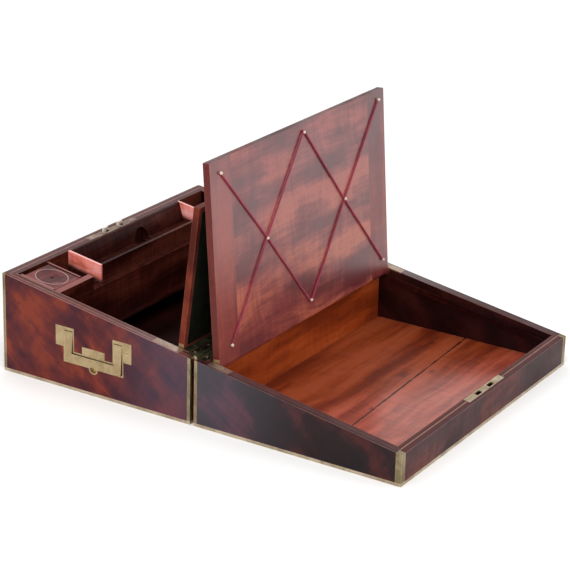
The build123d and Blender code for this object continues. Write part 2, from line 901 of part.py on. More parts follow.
with BuildPart() as cleats:
    for sign in (-1, 1):
        flap_board(LID, front_flap_length, sorted((sign * panel_half, sign * flap_half)))
        flap_end_plate(LID, sign, Mode.SUBTRACT)
    reach = panel_half + tongue_length
    flap_slab(front_plane, (-reach, reach), (0, front_flap_length), tongue_w, Mode.SUBTRACT)
    velvet_panel(LID, front_flap_length, -1, Mode.SUBTRACT)
    cut_stud_holes()
write(cleats, "front_flap_cleats")

with BuildPart() as front_velvet:
    velvet_panel(LID, front_flap_length, -1)
write(front_velvet, "front_flap_velvet")
write(flap_pivots(LID), "front_flap_pivots")

with BuildPart() as lattice_studs:
    for x, u in studs.values():
        with BuildSketch(front_plane.offset(front_half - stud_depth)) as shank:
            with Locations((x, u)):
                Circle(stud_shank_radius)
        extrude(shank.sketch, amount=stud_depth + 2 * cord_radius + 2 * stud_lift)
        with Locations(front_plane.offset(stud_face).location * Location((x, u, 0))):
            Sphere(stud_head_radius, arc_size1=0, align=(Align.CENTER, Align.CENTER, Align.MIN))
write(lattice_studs, "lattice_studs")

with BuildPart() as lattice_cord:
    cord_plane = front_plane.offset(front_half + cord_radius + stud_lift / 2)
    for start, end in cord_runs:
        (x0, u0), (x1, u1) = studs[start], studs[end]
        run = hypot(x1 - x0, u1 - u0)
        unit_x, unit_u = (x1 - x0) / run, (u1 - u0) / run
        first = cord_plane.from_local_coords(Vector(x0 + unit_x * cord_start, u0 + unit_u * cord_start, 0))
        along = cord_plane.from_local_coords(Vector(x1, u1, 0)) - first
        with BuildSketch(Plane(origin=first, z_dir=along)) as section:
            Circle(cord_radius)
        extrude(section.sketch, amount=run - 2 * cord_start)
write(lattice_cord, "lattice_cord")

# ---------------------------------------------------------------- pen row

inside_front = row_front + front_panel_thickness

with BuildPart() as shelf:
    block((-inner_x, row_front, shelf_z), (inner_x, inner_back, shelf_top))
write(shelf, "row_shelf")

with BuildPart() as front_panel_board:
    block((-inner_x, row_front, shelf_top), (inner_x, inside_front, ledge_z))
write(front_panel_board, "row_front_panel")

board_back = row_front + front_board_thickness
with BuildPart() as compartment_fronts:
    for x_span in ((-inner_x, near_board_end), (tray_far_x, inner_x)):
        block((x_span[0], row_front, ledge_z), (x_span[1], board_back, clear_top))
    trim_to_rim(BASE, front_board_drop)
write(compartment_fronts, "compartment_fronts")

with BuildPart() as dividers:
    for x_low in (tray_near_x, tray_far_x - divider_thickness):
        block((x_low, inside_front, shelf_top), (x_low + divider_thickness, inner_back, ledge_z))
write(dividers, "row_dividers")

liner_x = -inner_x + liner_thickness
with BuildPart() as partition:
    for x_span in ((-inner_x, liner_x), (partition_x - partition_thickness, partition_x)):
        block((x_span[0], inside_front, shelf_top), (x_span[1], inner_back, clear_top))
    trim_to_rim(BASE, partition_drop)
write(partition, "well_partition")

with BuildPart() as pen_tray:
    x_span = (tray_near_x + tray_plate, tray_far_x - tray_plate)
    block((x_span[0], tray_front, ledge_z), (x_span[1], inner_back, clear_top))
    trim_to_rim(BASE)
    trough_top = rim_z(BASE, inner_back) + tray_corner_radius
    slope_run = tray_slope_foot - tray_slope_top
    slope_height = rim_z(BASE, inner_back) - ledge_z - tray_floor
    back_top = inner_back - tray_slope_top + slope_run * tray_corner_radius / slope_height
    with BuildSketch(Plane.YZ.offset(x_span[0])) as trough:
        with BuildLine():
            Polyline(
                (tray_front + tray_front_wall, trough_top),
                (tray_front + tray_front_wall, ledge_z + tray_floor),
                (inner_back - tray_slope_foot, ledge_z + tray_floor),
                (back_top, trough_top),
                close=True,
            )
        make_face()
        front_foot, back_foot = trough.vertices().group_by(Axis.Y)[0].sort_by(Axis.X)
        fillet(front_foot, tray_front_radius)
        fillet(back_foot, tray_corner_radius)
    extrude(trough.sketch, amount=x_span[1] - x_span[0], mode=Mode.SUBTRACT)
    arch_foot = ledge_z + tray_floor
    arch_y = (inner_back - tray_slope_foot - tray_corner_radius, inner_back - arch_back)
    rod_y((arch_x, arch_foot + arch_leg), arch_radius, arch_y[0], arch_y[1], Mode.SUBTRACT)
    arch_low = (arch_x - arch_radius, arch_y[0], arch_foot)
    block(arch_low, (arch_x + arch_radius, arch_y[1], arch_foot + arch_leg), Mode.SUBTRACT)
write(pen_tray, "pen_tray")

with BuildPart() as tray_plates:
    for x_low in (tray_near_x, tray_far_x - tray_plate):
        block((x_low, tray_front, ledge_z), (x_low + tray_plate, inner_back, clear_top))
    trim_to_rim(BASE)
write(tray_plates, "tray_end_plates")

sander_x = (liner_x + sander_gap, partition_x - partition_thickness - sander_gap)
sander_y = (inside_front + sander_gap, inner_back - sander_back_gap)
sander_middle = ((sander_x[0] + sander_x[1]) / 2, (sander_y[0] + sander_y[1]) / 2)
dish_place = Plane(
    origin=(
        sander_middle[0],
        sander_middle[1],
        rim_z(BASE, sander_middle[1]) - slope_drop(sander_drop),
    ),
    x_dir=(1, 0, 0),
    z_dir=(0, -slope_rate, 1),
).location

with BuildPart() as sander:
    block((sander_x[0], sander_y[0], shelf_top), (sander_x[1], sander_y[1], clear_top))
    trim_to_rim(BASE, sander_drop)
    with Locations(dish_place):
        Cylinder(
            dish_radius,
            dish_thickness,
            align=(Align.CENTER, Align.CENTER, Align.MAX),
            mode=Mode.SUBTRACT,
        )
    with BuildSketch(Plane.XY.offset(shelf_top + sander_floor)) as bore:
        with Locations(sander_middle):
            Circle(sander_bore)
    extrude(bore.sketch, amount=ledge_z - shelf_top, mode=Mode.SUBTRACT)
write(sander, "sander_block")

with BuildPart() as sander_dish:
    top = (Align.CENTER, Align.CENTER, Align.MAX)
    with Locations(dish_place):
        Cylinder(dish_radius, dish_thickness, align=top)
        Cone(dish_hole, dish_radius - dish_rim, dish_depth, align=top, mode=Mode.SUBTRACT)
        Cylinder(dish_hole, dish_thickness, align=top, mode=Mode.SUBTRACT)
write(sander_dish, "sander_dish")

# ---------------------------------------------------------------- carrying handles

channel_outer = plate_half - lip
channel_inner = ear_inner + lip
channel_low = plate_bottom + lip
channel_top = bail_pivot_z + bail_thickness / 2 + bail_foot_gap
channel_depth = bail_thickness + bail_gap
bar_low = channel_low + bail_foot_gap
bar_top = bar_low + bail_bar_height
channel_face = -half_width + channel_depth
bail_pivot_x = -half_width + bail_thickness / 2

with BuildPart() as near_plate:
    handle_outline(handle_plate_thickness)
    low, high = handle_y - channel_outer, handle_y + channel_outer
    block((-half_width, low, channel_low), (channel_face, high, bar_top + bail_foot_gap), Mode.SUBTRACT)
    for sign in (-1, 1):
        low, high = sorted((handle_y + sign * channel_inner, handle_y + sign * channel_outer))
        block((-half_width, low, channel_low), (channel_face, high, channel_top), Mode.SUBTRACT)
    finger = finger_radius - finger_wall
    rod_x((handle_y, plate_bottom), finger, -half_width, -half_width + finger_depth, Mode.SUBTRACT)
    for sign in (-1, 1):
        low, high = sorted((handle_y + sign * ear_inner, handle_y + sign * handle_pin_outer))
        rod_y((bail_pivot_x, bail_pivot_z), handle_pin_radius, low, high, Mode.SUBTRACT)
    cut_screw_holes(handle_screw_places())
write(near_plate, "near_handle_plate")
write(mirrored(near_plate), "far_handle_plate")

with BuildPart() as near_pins:
    for sign in (-1, 1):
        low, high = sorted((handle_y + sign * ear_inner, handle_y + sign * handle_pin_outer))
        rod_y((bail_pivot_x, bail_pivot_z), handle_pin_radius, low, high)
with BuildPart() as handle_pins:
    add(near_pins.part)
    mirror(near_pins.part, about=Plane.YZ)
write(handle_pins, "handle_pins")

with BuildPart() as near_screws:
    add_screws(handle_screw_places())
with BuildPart() as handle_screws:
    add(near_screws.part)
    mirror(near_screws.part, about=Plane.YZ)
write(handle_screws, "handle_screws")

arm_outer = channel_outer - bail_gap
arm_inner = channel_inner + bail_gap
bail_side = [
    (arm_outer, bail_pivot_z),
    (arm_outer - bail_taper, bar_low),
    (-arm_outer + bail_taper, bar_low),
    (-arm_outer, bail_pivot_z),
    (-arm_inner, bail_pivot_z),
    (-arm_inner - bail_taper, bar_top),
    (arm_inner + bail_taper, bar_top),
    (arm_inner, bail_pivot_z),
]

with BuildPart() as flush_bail:
    prism_x([(handle_y + u, z) for u, z in bail_side], -half_width, -half_width + bail_thickness)
    for sign in (-1, 1):
        low, high = sorted((handle_y + sign * arm_inner, handle_y + sign * arm_outer))
        rod_y((bail_pivot_x, bail_pivot_z), bail_thickness / 2, low, high)
        bore = handle_pin_radius + running_clearance
        rod_y((bail_pivot_x, bail_pivot_z), bore, low, high, Mode.SUBTRACT)
bail_axis = Axis((bail_pivot_x, handle_y, bail_pivot_z), (0, 1, 0))
with BuildPart() as near_bail:
    add(flush_bail.part.rotate(bail_axis, bail_rest_angle))
write(near_bail, "near_bail")
write(mirrored(near_bail), "far_bail")
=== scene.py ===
import logging
import math
from dataclasses import dataclass, field
from enum import Enum

import bpy
from mathutils import Matrix, Vector


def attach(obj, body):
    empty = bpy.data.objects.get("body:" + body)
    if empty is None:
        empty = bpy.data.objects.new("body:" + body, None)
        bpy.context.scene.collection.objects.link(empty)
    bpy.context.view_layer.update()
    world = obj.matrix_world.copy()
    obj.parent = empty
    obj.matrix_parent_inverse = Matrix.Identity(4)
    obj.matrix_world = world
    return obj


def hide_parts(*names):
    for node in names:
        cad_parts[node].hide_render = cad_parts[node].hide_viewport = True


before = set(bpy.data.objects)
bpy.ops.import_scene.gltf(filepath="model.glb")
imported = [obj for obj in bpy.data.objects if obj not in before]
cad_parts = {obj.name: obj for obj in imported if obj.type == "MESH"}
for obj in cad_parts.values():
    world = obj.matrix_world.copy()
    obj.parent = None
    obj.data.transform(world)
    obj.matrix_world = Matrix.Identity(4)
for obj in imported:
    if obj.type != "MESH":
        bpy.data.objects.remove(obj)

log = logging.getLogger("writing_slope")

Colour = tuple[float, float, float]
Point = tuple[float, float, float]
Span = tuple[float, float]
Socket = bpy.types.NodeSocket
Value = Socket | float | tuple[float, ...]

MM = 0.001

# The case, in the shared frame.
HALF_WIDTH = 190.0 * MM
OUTER_Y = 252.5 * MM
FACING_Y = 2.5 * MM
WALL = 12.0 * MM
FLAP_TILT = math.radians(85.5)
REAR_TILT = math.radians(96.4)
DISH_MIDDLE = (-0.1491, 0.21615, 0.0)
RING_EDGE: Span = (0.0172, 0.0177)

# The crack between the lid's boards runs where y = CRACK_SLOPE * x - CRACK_Y.
CRACK_Y = 0.1413
CRACK_SLOPE = 0.0503

ALONG = (0.0, 1.0, 0.0)
UPWARDS = (0.0, 0.0, 1.0)
FLATTEN = (1.0, 1.0, 0.0)
HALVES = (0.5, 0.5, 0.5)
WHITE = (1.0, 1.0, 1.0)

# How far a face's normal reaches along an axis as the face begins to count, and counts whole.
FACING: Span = (0.8, 0.95)
RIM_FACING = 0.9
INSIDE_DEPTH = 0.97


class Grain(Enum):
    """Which way a board's grain runs, as the turn that brings it to the texture's X axis."""

    ACROSS = (0.0, 0.0, 0.0)
    DEEP = (0.0, 0.0, -math.pi / 2)


class NoiseOutput(Enum):
    """What comes out of a noise texture, as the number of its output."""

    VALUE = 0
    COLOUR = 1


class Blend(Enum):
    """How two colours are mixed, by the node's own names."""

    MIX = "MIX"
    MULTIPLY = "MULTIPLY"


class Op(Enum):
    """Sums on numbers or vectors, by the nodes' own names."""

    ADD = "ADD"
    SUBTRACT = "SUBTRACT"
    MULTIPLY = "MULTIPLY"
    DIVIDE = "DIVIDE"
    MINIMUM = "MINIMUM"
    MAXIMUM = "MAXIMUM"
    ABSOLUTE = "ABSOLUTE"
    GREATER = "GREATER_THAN"
    DOT = "DOT_PRODUCT"
    LENGTH = "LENGTH"


class Rim(Enum):
    """What the rim of a case wall shows, as bands from its outer edge inwards: pale worn lines, the
    wood, and dark lines that are painted shade along the brass and the rebates.
    """

    SIDE = (
        (0.00, (0.300, 0.130, 0.115)),
        (0.12, (0.280, 0.115, 0.100)),
        (0.15, (0.070, 0.011, 0.011)),
        (0.28, (0.075, 0.012, 0.012)),
        (0.32, (0.235, 0.090, 0.075)),
        (0.56, (0.200, 0.075, 0.062)),
        (0.60, (0.070, 0.015, 0.012)),
        (0.84, (0.110, 0.026, 0.020)),
        (0.88, (0.230, 0.095, 0.080)),
        (1.00, (0.200, 0.080, 0.065)),
    )
    BACK = (
        (0.00, (0.200, 0.110, 0.100)),
        (0.12, (0.190, 0.100, 0.090)),
        (0.16, (0.095, 0.042, 0.040)),
        (0.40, (0.120, 0.052, 0.050)),
        (0.46, (0.250, 0.120, 0.110)),
        (0.56, (0.230, 0.105, 0.095)),
        (0.62, (0.090, 0.035, 0.035)),
        (1.00, (0.110, 0.045, 0.045)),
    )
    LID_SIDE = (
        (0.00, (0.150, 0.060, 0.055)),
        (0.07, (0.120, 0.045, 0.042)),
        (0.10, (0.026, 0.006, 0.008)),
        (0.36, (0.032, 0.007, 0.009)),
        (0.38, (0.150, 0.060, 0.050)),
        (0.43, (0.070, 0.017, 0.016)),
        (1.00, (0.070, 0.016, 0.014)),
    )
    THIN_END = (
        (0.00, (0.150, 0.060, 0.052)),
        (0.05, (0.110, 0.040, 0.036)),
        (0.08, (0.060, 0.012, 0.014)),
        (0.54, (0.080, 0.015, 0.018)),
        (0.56, (0.380, 0.190, 0.120)),
        (0.61, (0.380, 0.190, 0.120)),
        (0.64, (0.060, 0.013, 0.013)),
        (1.00, (0.100, 0.020, 0.018)),
    )


class Graph:
    """Adds and joins the nodes of one node tree."""

    def __init__(self, tree: bpy.types.NodeTree) -> None:
        """Keeps the tree that the nodes go into.

        Args:
            tree: A material's node tree or a node group.
        """
        self.tree = tree

    def feed(self, target: Socket, value: Value) -> None:
        """Links a socket to an input, or sets the input's own value.

        Args:
            target: The input.
            value: What goes into it.
        """
        if isinstance(value, bpy.types.NodeSocket):
            self.tree.links.new(value, target)
        else:
            target.default_value = value

    def node(self, kind: str, values: dict[str | int, Value], **settings: object) -> bpy.types.Node:
        """Adds one node.

        Args:
            kind: The node's type name.
            values: What goes into its inputs, by the inputs' names or numbers.
            settings: The node's own properties.

        Returns:
            The new node.
        """
        made = self.tree.nodes.new(kind)
        for name, value in settings.items():
            setattr(made, name, value)
        for key, value in values.items():
            self.feed(made.inputs[key], value)
        return made

    def math(self, operation: Op, first: Value, second: Value = 0.0) -> Socket:
        """Result of one sum on two numbers."""
        values = {0: first, 1: second}
        return self.node("ShaderNodeMath", values, operation=operation.value).outputs[0]

    def vector_math(self, operation: Op, first: Value, second: Value) -> bpy.types.Node:
        """Node of one sum on two vectors."""
        values = {0: first, 1: second}
        return self.node("ShaderNodeVectorMath", values, operation=operation.value)

    def shift(self, operation: Op, first: Value, second: Value) -> Socket:
        """Vector that one sum on two vectors gives."""
        return self.vector_math(operation, first, second).outputs["Vector"]

    def measure(self, operation: Op, first: Value, second: Value = (0.0, 0.0, 0.0)) -> Socket:
        """Number that one sum on vectors gives."""
        return self.vector_math(operation, first, second).outputs["Value"]

    def noise(
        self,
        place: Socket,
        detail: float,
        rough: float,
        output: NoiseOutput = NoiseOutput.VALUE,
    ) -> Socket:
        """Noise with one cell for each unit of its place.

        Args:
            place: Where the noise is read.
            detail: Octaves of finer noise.
            rough: Strength of the finer octaves.
            output: Whether its value or its colour comes out.

        Returns:
            The chosen output.
        """
        values = {"Vector": place, "Scale": 1.0, "Detail": detail, "Roughness": rough}
        return self.node("ShaderNodeTexNoise", values).outputs[output.value]

    def spread(self, value: Socket, span: Span, result: Span = (0.0, 1.0)) -> Socket:
        """Value carried smoothly from one range to another.

        Args:
            value: What is carried over.
            span: Start and end of its range.
            result: What the start and the end become.

        Returns:
            The new value, held inside its range.
        """
        values = {
            "Value": value,
            "From Min": span[0],
            "From Max": span[1],
            "To Min": result[0],
            "To Max": result[1],
        }
        made = self.node("ShaderNodeMapRange", values, interpolation_type="SMOOTHSTEP")
        return made.outputs[0]

    def ramp(self, value: Socket, stops: list[tuple[float, Colour]]) -> Socket:
        """Colour ramp over a value.

        Args:
            value: Place on the ramp, from 0 to 1.
            stops: Places and their colours.

        Returns:
            The colour.
        """
        made = self.node("ShaderNodeValToRGB", {0: value})
        elements = made.color_ramp.elements
        while len(elements) < len(stops):
            elements.new(1.0)
        for element, (place, colour) in zip(elements, stops):
            element.position = place
            element.color = (*colour, 1.0)
        return made.outputs[0]

    def mix(self, share: Value, first: Value, second: Value, blend: Blend = Blend.MIX) -> Socket:
        """Mix of two colours.

        Args:
            share: How much of the second there is.
            first: A colour or a socket.
            second: A colour or a socket.
            blend: How they are mixed.

        Returns:
            The mixed colour.
        """
        pair = [(*c, 1.0) if isinstance(c, tuple) else c for c in (first, second)]
        values = {0: share, 6: pair[0], 7: pair[1]}
        made = self.node("ShaderNodeMix", values, data_type="RGBA", blend_type=blend.value)
        return made.outputs[2]

    def patch(self, mask: Socket, share: float, under: Socket, over: Colour) -> Socket:
        """Colour laid over another where a mask shows, as strongly as a share says."""
        return self.mix(self.math(Op.MULTIPLY, mask, share), under, over)

    def object_place(self) -> Socket:
        """The point's place on the object at rest."""
        return self.node("ShaderNodeTexCoord", {}).outputs["Object"]

    def facing(self) -> tuple[Socket, Socket, Socket]:
        """Which way the object's face looks at rest, along X, Y and Z."""
        return self.parts(self.node("ShaderNodeTexCoord", {}).outputs["Normal"])

    def parts(self, vector: Socket) -> tuple[Socket, Socket, Socket]:
        """The three numbers of a vector."""
        made = self.node("ShaderNodeSeparateXYZ", {0: vector})
        return made.outputs[0], made.outputs[1], made.outputs[2]

    def vector(self, x: Value, y: Value, z: Value) -> Socket:
        """Vector of three numbers."""
        return self.node("ShaderNodeCombineXYZ", {0: x, 1: y, 2: z}).outputs[0]

    def group(self, tree: bpy.types.NodeTree, values: dict[str | int, Value]) -> bpy.types.Node:
        """Places a node group and feeds its inputs."""
        return self.node("ShaderNodeGroup", values, node_tree=tree)

    def bump(self, shader: bpy.types.Node, height: Socket, strength: float, depth: float) -> None:
        """Gives a shader's surface a fine relief.

        Args:
            shader: The shader.
            height: The relief's height.
            strength: Share of the relief that shows.
            depth: How deep it is, in metres.
        """
        values = {"Strength": strength, "Distance": depth, "Height": height}
        self.feed(shader.inputs["Normal"], self.node("ShaderNodeBump", values).outputs[0])


@dataclass(frozen=True)
class Cloud:
    """Noise of one size, and the range of its values that shows.

    Attributes:
        cells: Cells per metre along X, Y and Z.
        detail: Octaves of finer noise.
        rough: Strength of the finer octaves.
        shown: Value where it starts to show, and where it shows in full.
    """

    cells: Point
    detail: float = 3.0
    rough: float = 0.55
    shown: Span = (0.0, 1.0)

    def value(
        self, graph: Graph, place: Socket, output: NoiseOutput = NoiseOutput.VALUE
    ) -> Socket:
        """Makes the noise itself.

        Args:
            graph: The graph that it goes into.
            place: Where it is read, in metres.
            output: Whether its value or its colour comes out.

        Returns:
            The chosen output.
        """
        at = graph.shift(Op.MULTIPLY, place, self.cells)
        return graph.noise(at, self.detail, self.rough, output)

    def mask(self, graph: Graph, place: Socket, result: Span = (0.0, 1.0)) -> Socket:
        """Makes a mask of where the noise shows.

        Args:
            graph: The graph that it goes into.
            place: Where it is read, in metres.
            result: The mask's value where nothing shows, and where all does.

        Returns:
            The mask.
        """
        return graph.spread(self.value(graph, place), self.shown, result)


def even(cells: float) -> Point:
    """The same number of cells along each axis."""
    return (cells, cells, cells)


# The wood's figure: clouds of flame, fine streaks, ripple across them, pores and dull polish.
BEND = Cloud(even(9.0), 2.0)
BEND_REACH = (0.05, 0.02, 0.02)
FLAME_DETAIL = 4.0
FLAME_ROUGH = 0.5
FLAME_SHOWN: Span = (0.30, 0.70)
FINE = Cloud((9.0, 260.0, 260.0), 4.0, 0.6)
RIPPLE = Cloud((190.0, 17.0, 17.0))
RIPPLE_SHARE = 0.9
PORES = Cloud((150.0, 1900.0, 1900.0), 1.0, shown=(0.60, 0.72))
PORE_DEPTH = 0.4
DULLNESS = Cloud(even(26.0), 4.0, shown=(0.3, 0.7))

# The floor's crack and its spilt spots.
RAGGED = Cloud(even(90.0), 4.0)
RAGGED_REACH = 0.004
SPOTS = Cloud((22.0, 60.0, 22.0), shown=(0.60, 0.70))
SPOT_COLOUR = (0.060, 0.012, 0.008)
SPOT_ZONE: Span = (0.055, 0.015)
CRACK_ZONE: Span = (0.0018, 0.0006)
CRACK_COLOUR = (0.020, 0.004, 0.003)

# Worn edges, and old brass.
RUBBED = Cloud(even(70.0), 4.0, shown=(0.75, 1.15))
SHARP: Span = (0.995, 0.86)
TARNISH = Cloud(even(55.0), 5.0, 0.65, (0.36, 0.66))
SPECKS = Cloud(even(420.0), shown=(0.60, 0.70))
SCRATCHES = Cloud((260.0, 1900.0, 900.0), 2.0)

# Velvet, bone, cord and the studio's floor.
PRESSED = Cloud(even(60.0), 5.0, 0.65, (0.42, 0.62))
TUFTS = Cloud(even(1500.0), 2.0, shown=(0.35, 0.7))
FLECKS = Cloud(even(900.0), shown=(0.58, 0.70))
CREAM = Cloud(even(240.0), shown=(0.35, 0.65))
FIBRES = Cloud(even(2400.0), shown=(0.4, 0.7))
DYE = Cloud(even(35.0), shown=(0.35, 0.65))
FLOOR_TONE = Cloud(even(3.0), 2.0, shown=(0.3, 0.7))


@dataclass(frozen=True)
class Palette:
    """Four colours of a wood's figure, from its darkest to its lightest."""

    dark: Colour
    brown: Colour
    warm: Colour
    light: Colour

    def stops(self) -> list[tuple[float, Colour]]:
        """The colours, each with its place on the figure."""
        return [(0.08, self.dark), (0.36, self.brown), (0.62, self.warm), (0.95, self.light)]


OUTSIDE = Palette(
    (0.050, 0.008, 0.014), (0.084, 0.013, 0.015), (0.118, 0.017, 0.014), (0.190, 0.030, 0.014)
)
OUTSIDE_LID = Palette(
    (0.007, 0.001, 0.002), (0.011, 0.0015, 0.003), (0.019, 0.0025, 0.004), (0.052, 0.007, 0.006)
)
OUTSIDE_END = Palette(
    (0.026, 0.004, 0.005), (0.042, 0.006, 0.007), (0.064, 0.010, 0.010), (0.115, 0.022, 0.016)
)
# Near-black wood for the case's inner faces, bottom, ledges and partition: partly dark wood, partly
# painted shade of the deep inside.
INSIDE_DARK = Palette(
    (0.007, 0.001, 0.001), (0.013, 0.002, 0.002), (0.020, 0.003, 0.003), (0.034, 0.006, 0.004)
)
INSIDE_WARM = Palette(
    (0.200, 0.030, 0.007), (0.300, 0.048, 0.010), (0.380, 0.064, 0.013), (0.470, 0.095, 0.022)
)
FLOOR = Palette(
    (0.130, 0.019, 0.006), (0.190, 0.032, 0.009), (0.245, 0.045, 0.014), (0.310, 0.066, 0.025)
)
FLAP = Palette(
    (0.092, 0.010, 0.013), (0.145, 0.018, 0.019), (0.198, 0.030, 0.027), (0.315, 0.057, 0.040)
)
REAR = Palette(
    (0.070, 0.012, 0.009), (0.105, 0.020, 0.013), (0.140, 0.028, 0.018), (0.190, 0.042, 0.028)
)
ROW = Palette(
    (0.018, 0.003, 0.002), (0.034, 0.006, 0.004), (0.054, 0.010, 0.006), (0.095, 0.020, 0.012)
)
CLEAT = Palette(
    (0.120, 0.015, 0.017), (0.160, 0.021, 0.022), (0.205, 0.030, 0.027), (0.270, 0.045, 0.036)
)
SALMON = Palette(
    (0.600, 0.130, 0.080), (0.850, 0.230, 0.170), (0.940, 0.320, 0.260), (0.960, 0.450, 0.410)
)
MAUVE = Palette(
    (0.060, 0.010, 0.012), (0.100, 0.018, 0.018), (0.135, 0.027, 0.026), (0.200, 0.050, 0.046)
)
RIM_TONES = [(0.30, (0.45, 0.42, 0.42)), (0.70, WHITE)]


@dataclass(frozen=True)
class PaintedLightFade:
    """A slow change along one direction of the shared frame, whose colour factors paint light,
    shade and reflection into the colour.

    Attributes:
        direction: Where it goes, as shares of X, Y and Z.
        start: Where the change starts along it, in metres.
        end: Where it ends.
        first: Colour factor at the start; both colour factors paint light and shade into the
            colour.
        last: Colour factor at the end.
        shine: Shares of the polish at the start and at the end.
    """

    direction: Point
    start: float
    end: float
    first: Colour = WHITE
    last: Colour = WHITE
    shine: Span = (1.0, 1.0)

    def sockets(self, graph: Graph, gloss: float) -> tuple[Socket, Socket]:
        """Makes the painted colour factor and the polish's weight in a material.

        Args:
            graph: The material's graph.
            gloss: Weight of the whole polish.

        Returns:
            The colour factor and the polish's weight.
        """
        place = graph.measure(Op.DOT, graph.object_place(), self.direction)
        span = (self.start, self.end)
        weight = graph.spread(place, span, (gloss * self.shine[0], gloss * self.shine[1]))
        return graph.mix(graph.spread(place, span), self.first, self.last), weight


class Effects:
    """The node groups that several finishes share."""

    def __init__(self) -> None:
        """Builds each group once."""
        self.figure = self.make_figure()
        self.zones = self.make_zones()
        self.wear = self.make_wear()
        self.tarnish = self.make_tarnish()

    @staticmethod
    def start(
        name: str, inputs: dict[str, float | None], outputs: tuple[str, ...]
    ) -> tuple[Graph, bpy.types.NodeOutputs, bpy.types.NodeInputs]:
        """Starts a group.

        Args:
            name: The group's name.
            inputs: Names of its inputs with their usual values; a vector's is None.
            outputs: Names of its outputs, which are numbers.

        Returns:
            Its graph, the sockets that bring values in, and those that take them out.
        """
        tree = bpy.data.node_groups.new(name, "ShaderNodeTree")
        for label, value in inputs.items():
            kind = "NodeSocketVector" if value is None else "NodeSocketFloat"
            made = tree.interface.new_socket(name=label, in_out="INPUT", socket_type=kind)
            if value is not None:
                made.default_value = value
        for label in outputs:
            tree.interface.new_socket(name=label, in_out="OUTPUT", socket_type="NodeSocketFloat")
        graph = Graph(tree)
        source = graph.node("NodeGroupInput", {})
        target = graph.node("NodeGroupOutput", {})
        return graph, source.outputs, target.inputs

    def make_figure(self) -> bpy.types.NodeTree:
        """Mahogany's flame, streaks, ripple and pores about the texture's X axis.

        Returns:
            The group.
        """
        usual = {"Vector": None, "Flame Length": 0.12, "Flame Width": 0.04, "Slant": 0.0}
        outputs = ("Figure", "Streak", "Pore", "Relief")
        graph, given, result = self.start("mahogany_figure", usual, outputs)
        bend = BEND.value(graph, given["Vector"], NoiseOutput.COLOUR)
        reach = graph.shift(Op.MULTIPLY, graph.shift(Op.SUBTRACT, bend, HALVES), BEND_REACH)
        bent = graph.shift(Op.ADD, given["Vector"], reach)
        x, y, z = graph.parts(bent)
        lean = graph.math(Op.MULTIPLY, graph.math(Op.ADD, y, z), given["Slant"])
        flame_at = graph.vector(
            graph.math(Op.DIVIDE, graph.math(Op.ADD, x, lean), given["Flame Length"]),
            graph.math(Op.DIVIDE, y, given["Flame Width"]),
            graph.math(Op.DIVIDE, z, given["Flame Width"]),
        )
        flame = graph.noise(flame_at, FLAME_DETAIL, FLAME_ROUGH)
        fine = FINE.value(graph, bent)
        ripple = graph.math(Op.SUBTRACT, RIPPLE.value(graph, bent), 0.5)
        pore = PORES.value(graph, given["Vector"])
        streak = graph.math(Op.ADD, fine, graph.math(Op.MULTIPLY, ripple, RIPPLE_SHARE))
        relief = graph.math(Op.SUBTRACT, fine, graph.math(Op.MULTIPLY, pore, PORE_DEPTH))
        graph.feed(result["Figure"], graph.spread(flame, FLAME_SHOWN))
        graph.feed(result["Streak"], streak)
        graph.feed(result["Pore"], graph.spread(pore, PORES.shown))
        graph.feed(result["Relief"], relief)
        return graph.tree

    def make_zones(self) -> bpy.types.NodeTree:
        """How far in a point of the case lies, and masks of its rim and inside.

        Returns:
            The group.
        """
        graph, _, result = self.start("case_zones", {}, ("Depth", "Rim", "Inside"))
        x, y, _ = graph.parts(graph.object_place())
        from_side = graph.math(Op.SUBTRACT, HALF_WIDTH, graph.math(Op.ABSOLUTE, x))
        length = graph.math(Op.ABSOLUTE, y)
        from_end = graph.math(Op.SUBTRACT, OUTER_Y, length)
        from_joint = graph.math(Op.SUBTRACT, length, FACING_Y)
        ends = graph.math(Op.MINIMUM, from_end, from_joint)
        depth = graph.math(Op.DIVIDE, graph.math(Op.MINIMUM, from_side, ends), WALL)
        rim = graph.math(Op.GREATER, graph.facing()[2], RIM_FACING)
        inside = graph.math(Op.GREATER, depth, INSIDE_DEPTH)
        graph.feed(result["Depth"], depth)
        graph.feed(result["Rim"], rim)
        off_rim = graph.math(Op.SUBTRACT, 1.0, rim)
        graph.feed(result["Inside"], graph.math(Op.MULTIPLY, inside, off_rim))
        return graph.tree

    def make_wear(self) -> bpy.types.NodeTree:
        """Mask of edges that hands have rubbed, broken up by noise.

        Returns:
            The group.
        """
        usual = {"Radius": 0.0008, "Evenness": 0.5}
        graph, given, result = self.start("edge_wear", usual, ("Mask",))
        rounded = graph.node("ShaderNodeBevel", {"Radius": given["Radius"]}, samples=4).outputs[0]
        flat = graph.node("ShaderNodeNewGeometry", {}).outputs["Normal"]
        edge = graph.spread(graph.measure(Op.DOT, rounded, flat), SHARP)
        noise = RUBBED.value(graph, graph.object_place())
        patches = graph.math(Op.ADD, noise, given["Evenness"])
        broken = graph.spread(patches, RUBBED.shown)
        graph.feed(result["Mask"], graph.math(Op.MULTIPLY, edge, broken))
        return graph.tree

    def make_tarnish(self) -> bpy.types.NodeTree:
        """Dull and dark patches of old brass, with fine scratches.

        Returns:
            The group.
        """
        outputs = ("Patches", "Specks", "Scratches")
        graph, _, result = self.start("brass_tarnish", {}, outputs)
        place = graph.object_place()
        graph.feed(result["Patches"], TARNISH.mask(graph, place))
        graph.feed(result["Specks"], SPECKS.mask(graph, place))
        graph.feed(result["Scratches"], SCRATCHES.value(graph, place))
        return graph.tree

    def rubbed(self, graph: Graph, radius: float, evenness: float) -> Socket:
        """Mask of a material's rubbed edges."""
        values = {"Radius": radius, "Evenness": evenness}
        return graph.group(self.wear, values).outputs["Mask"]


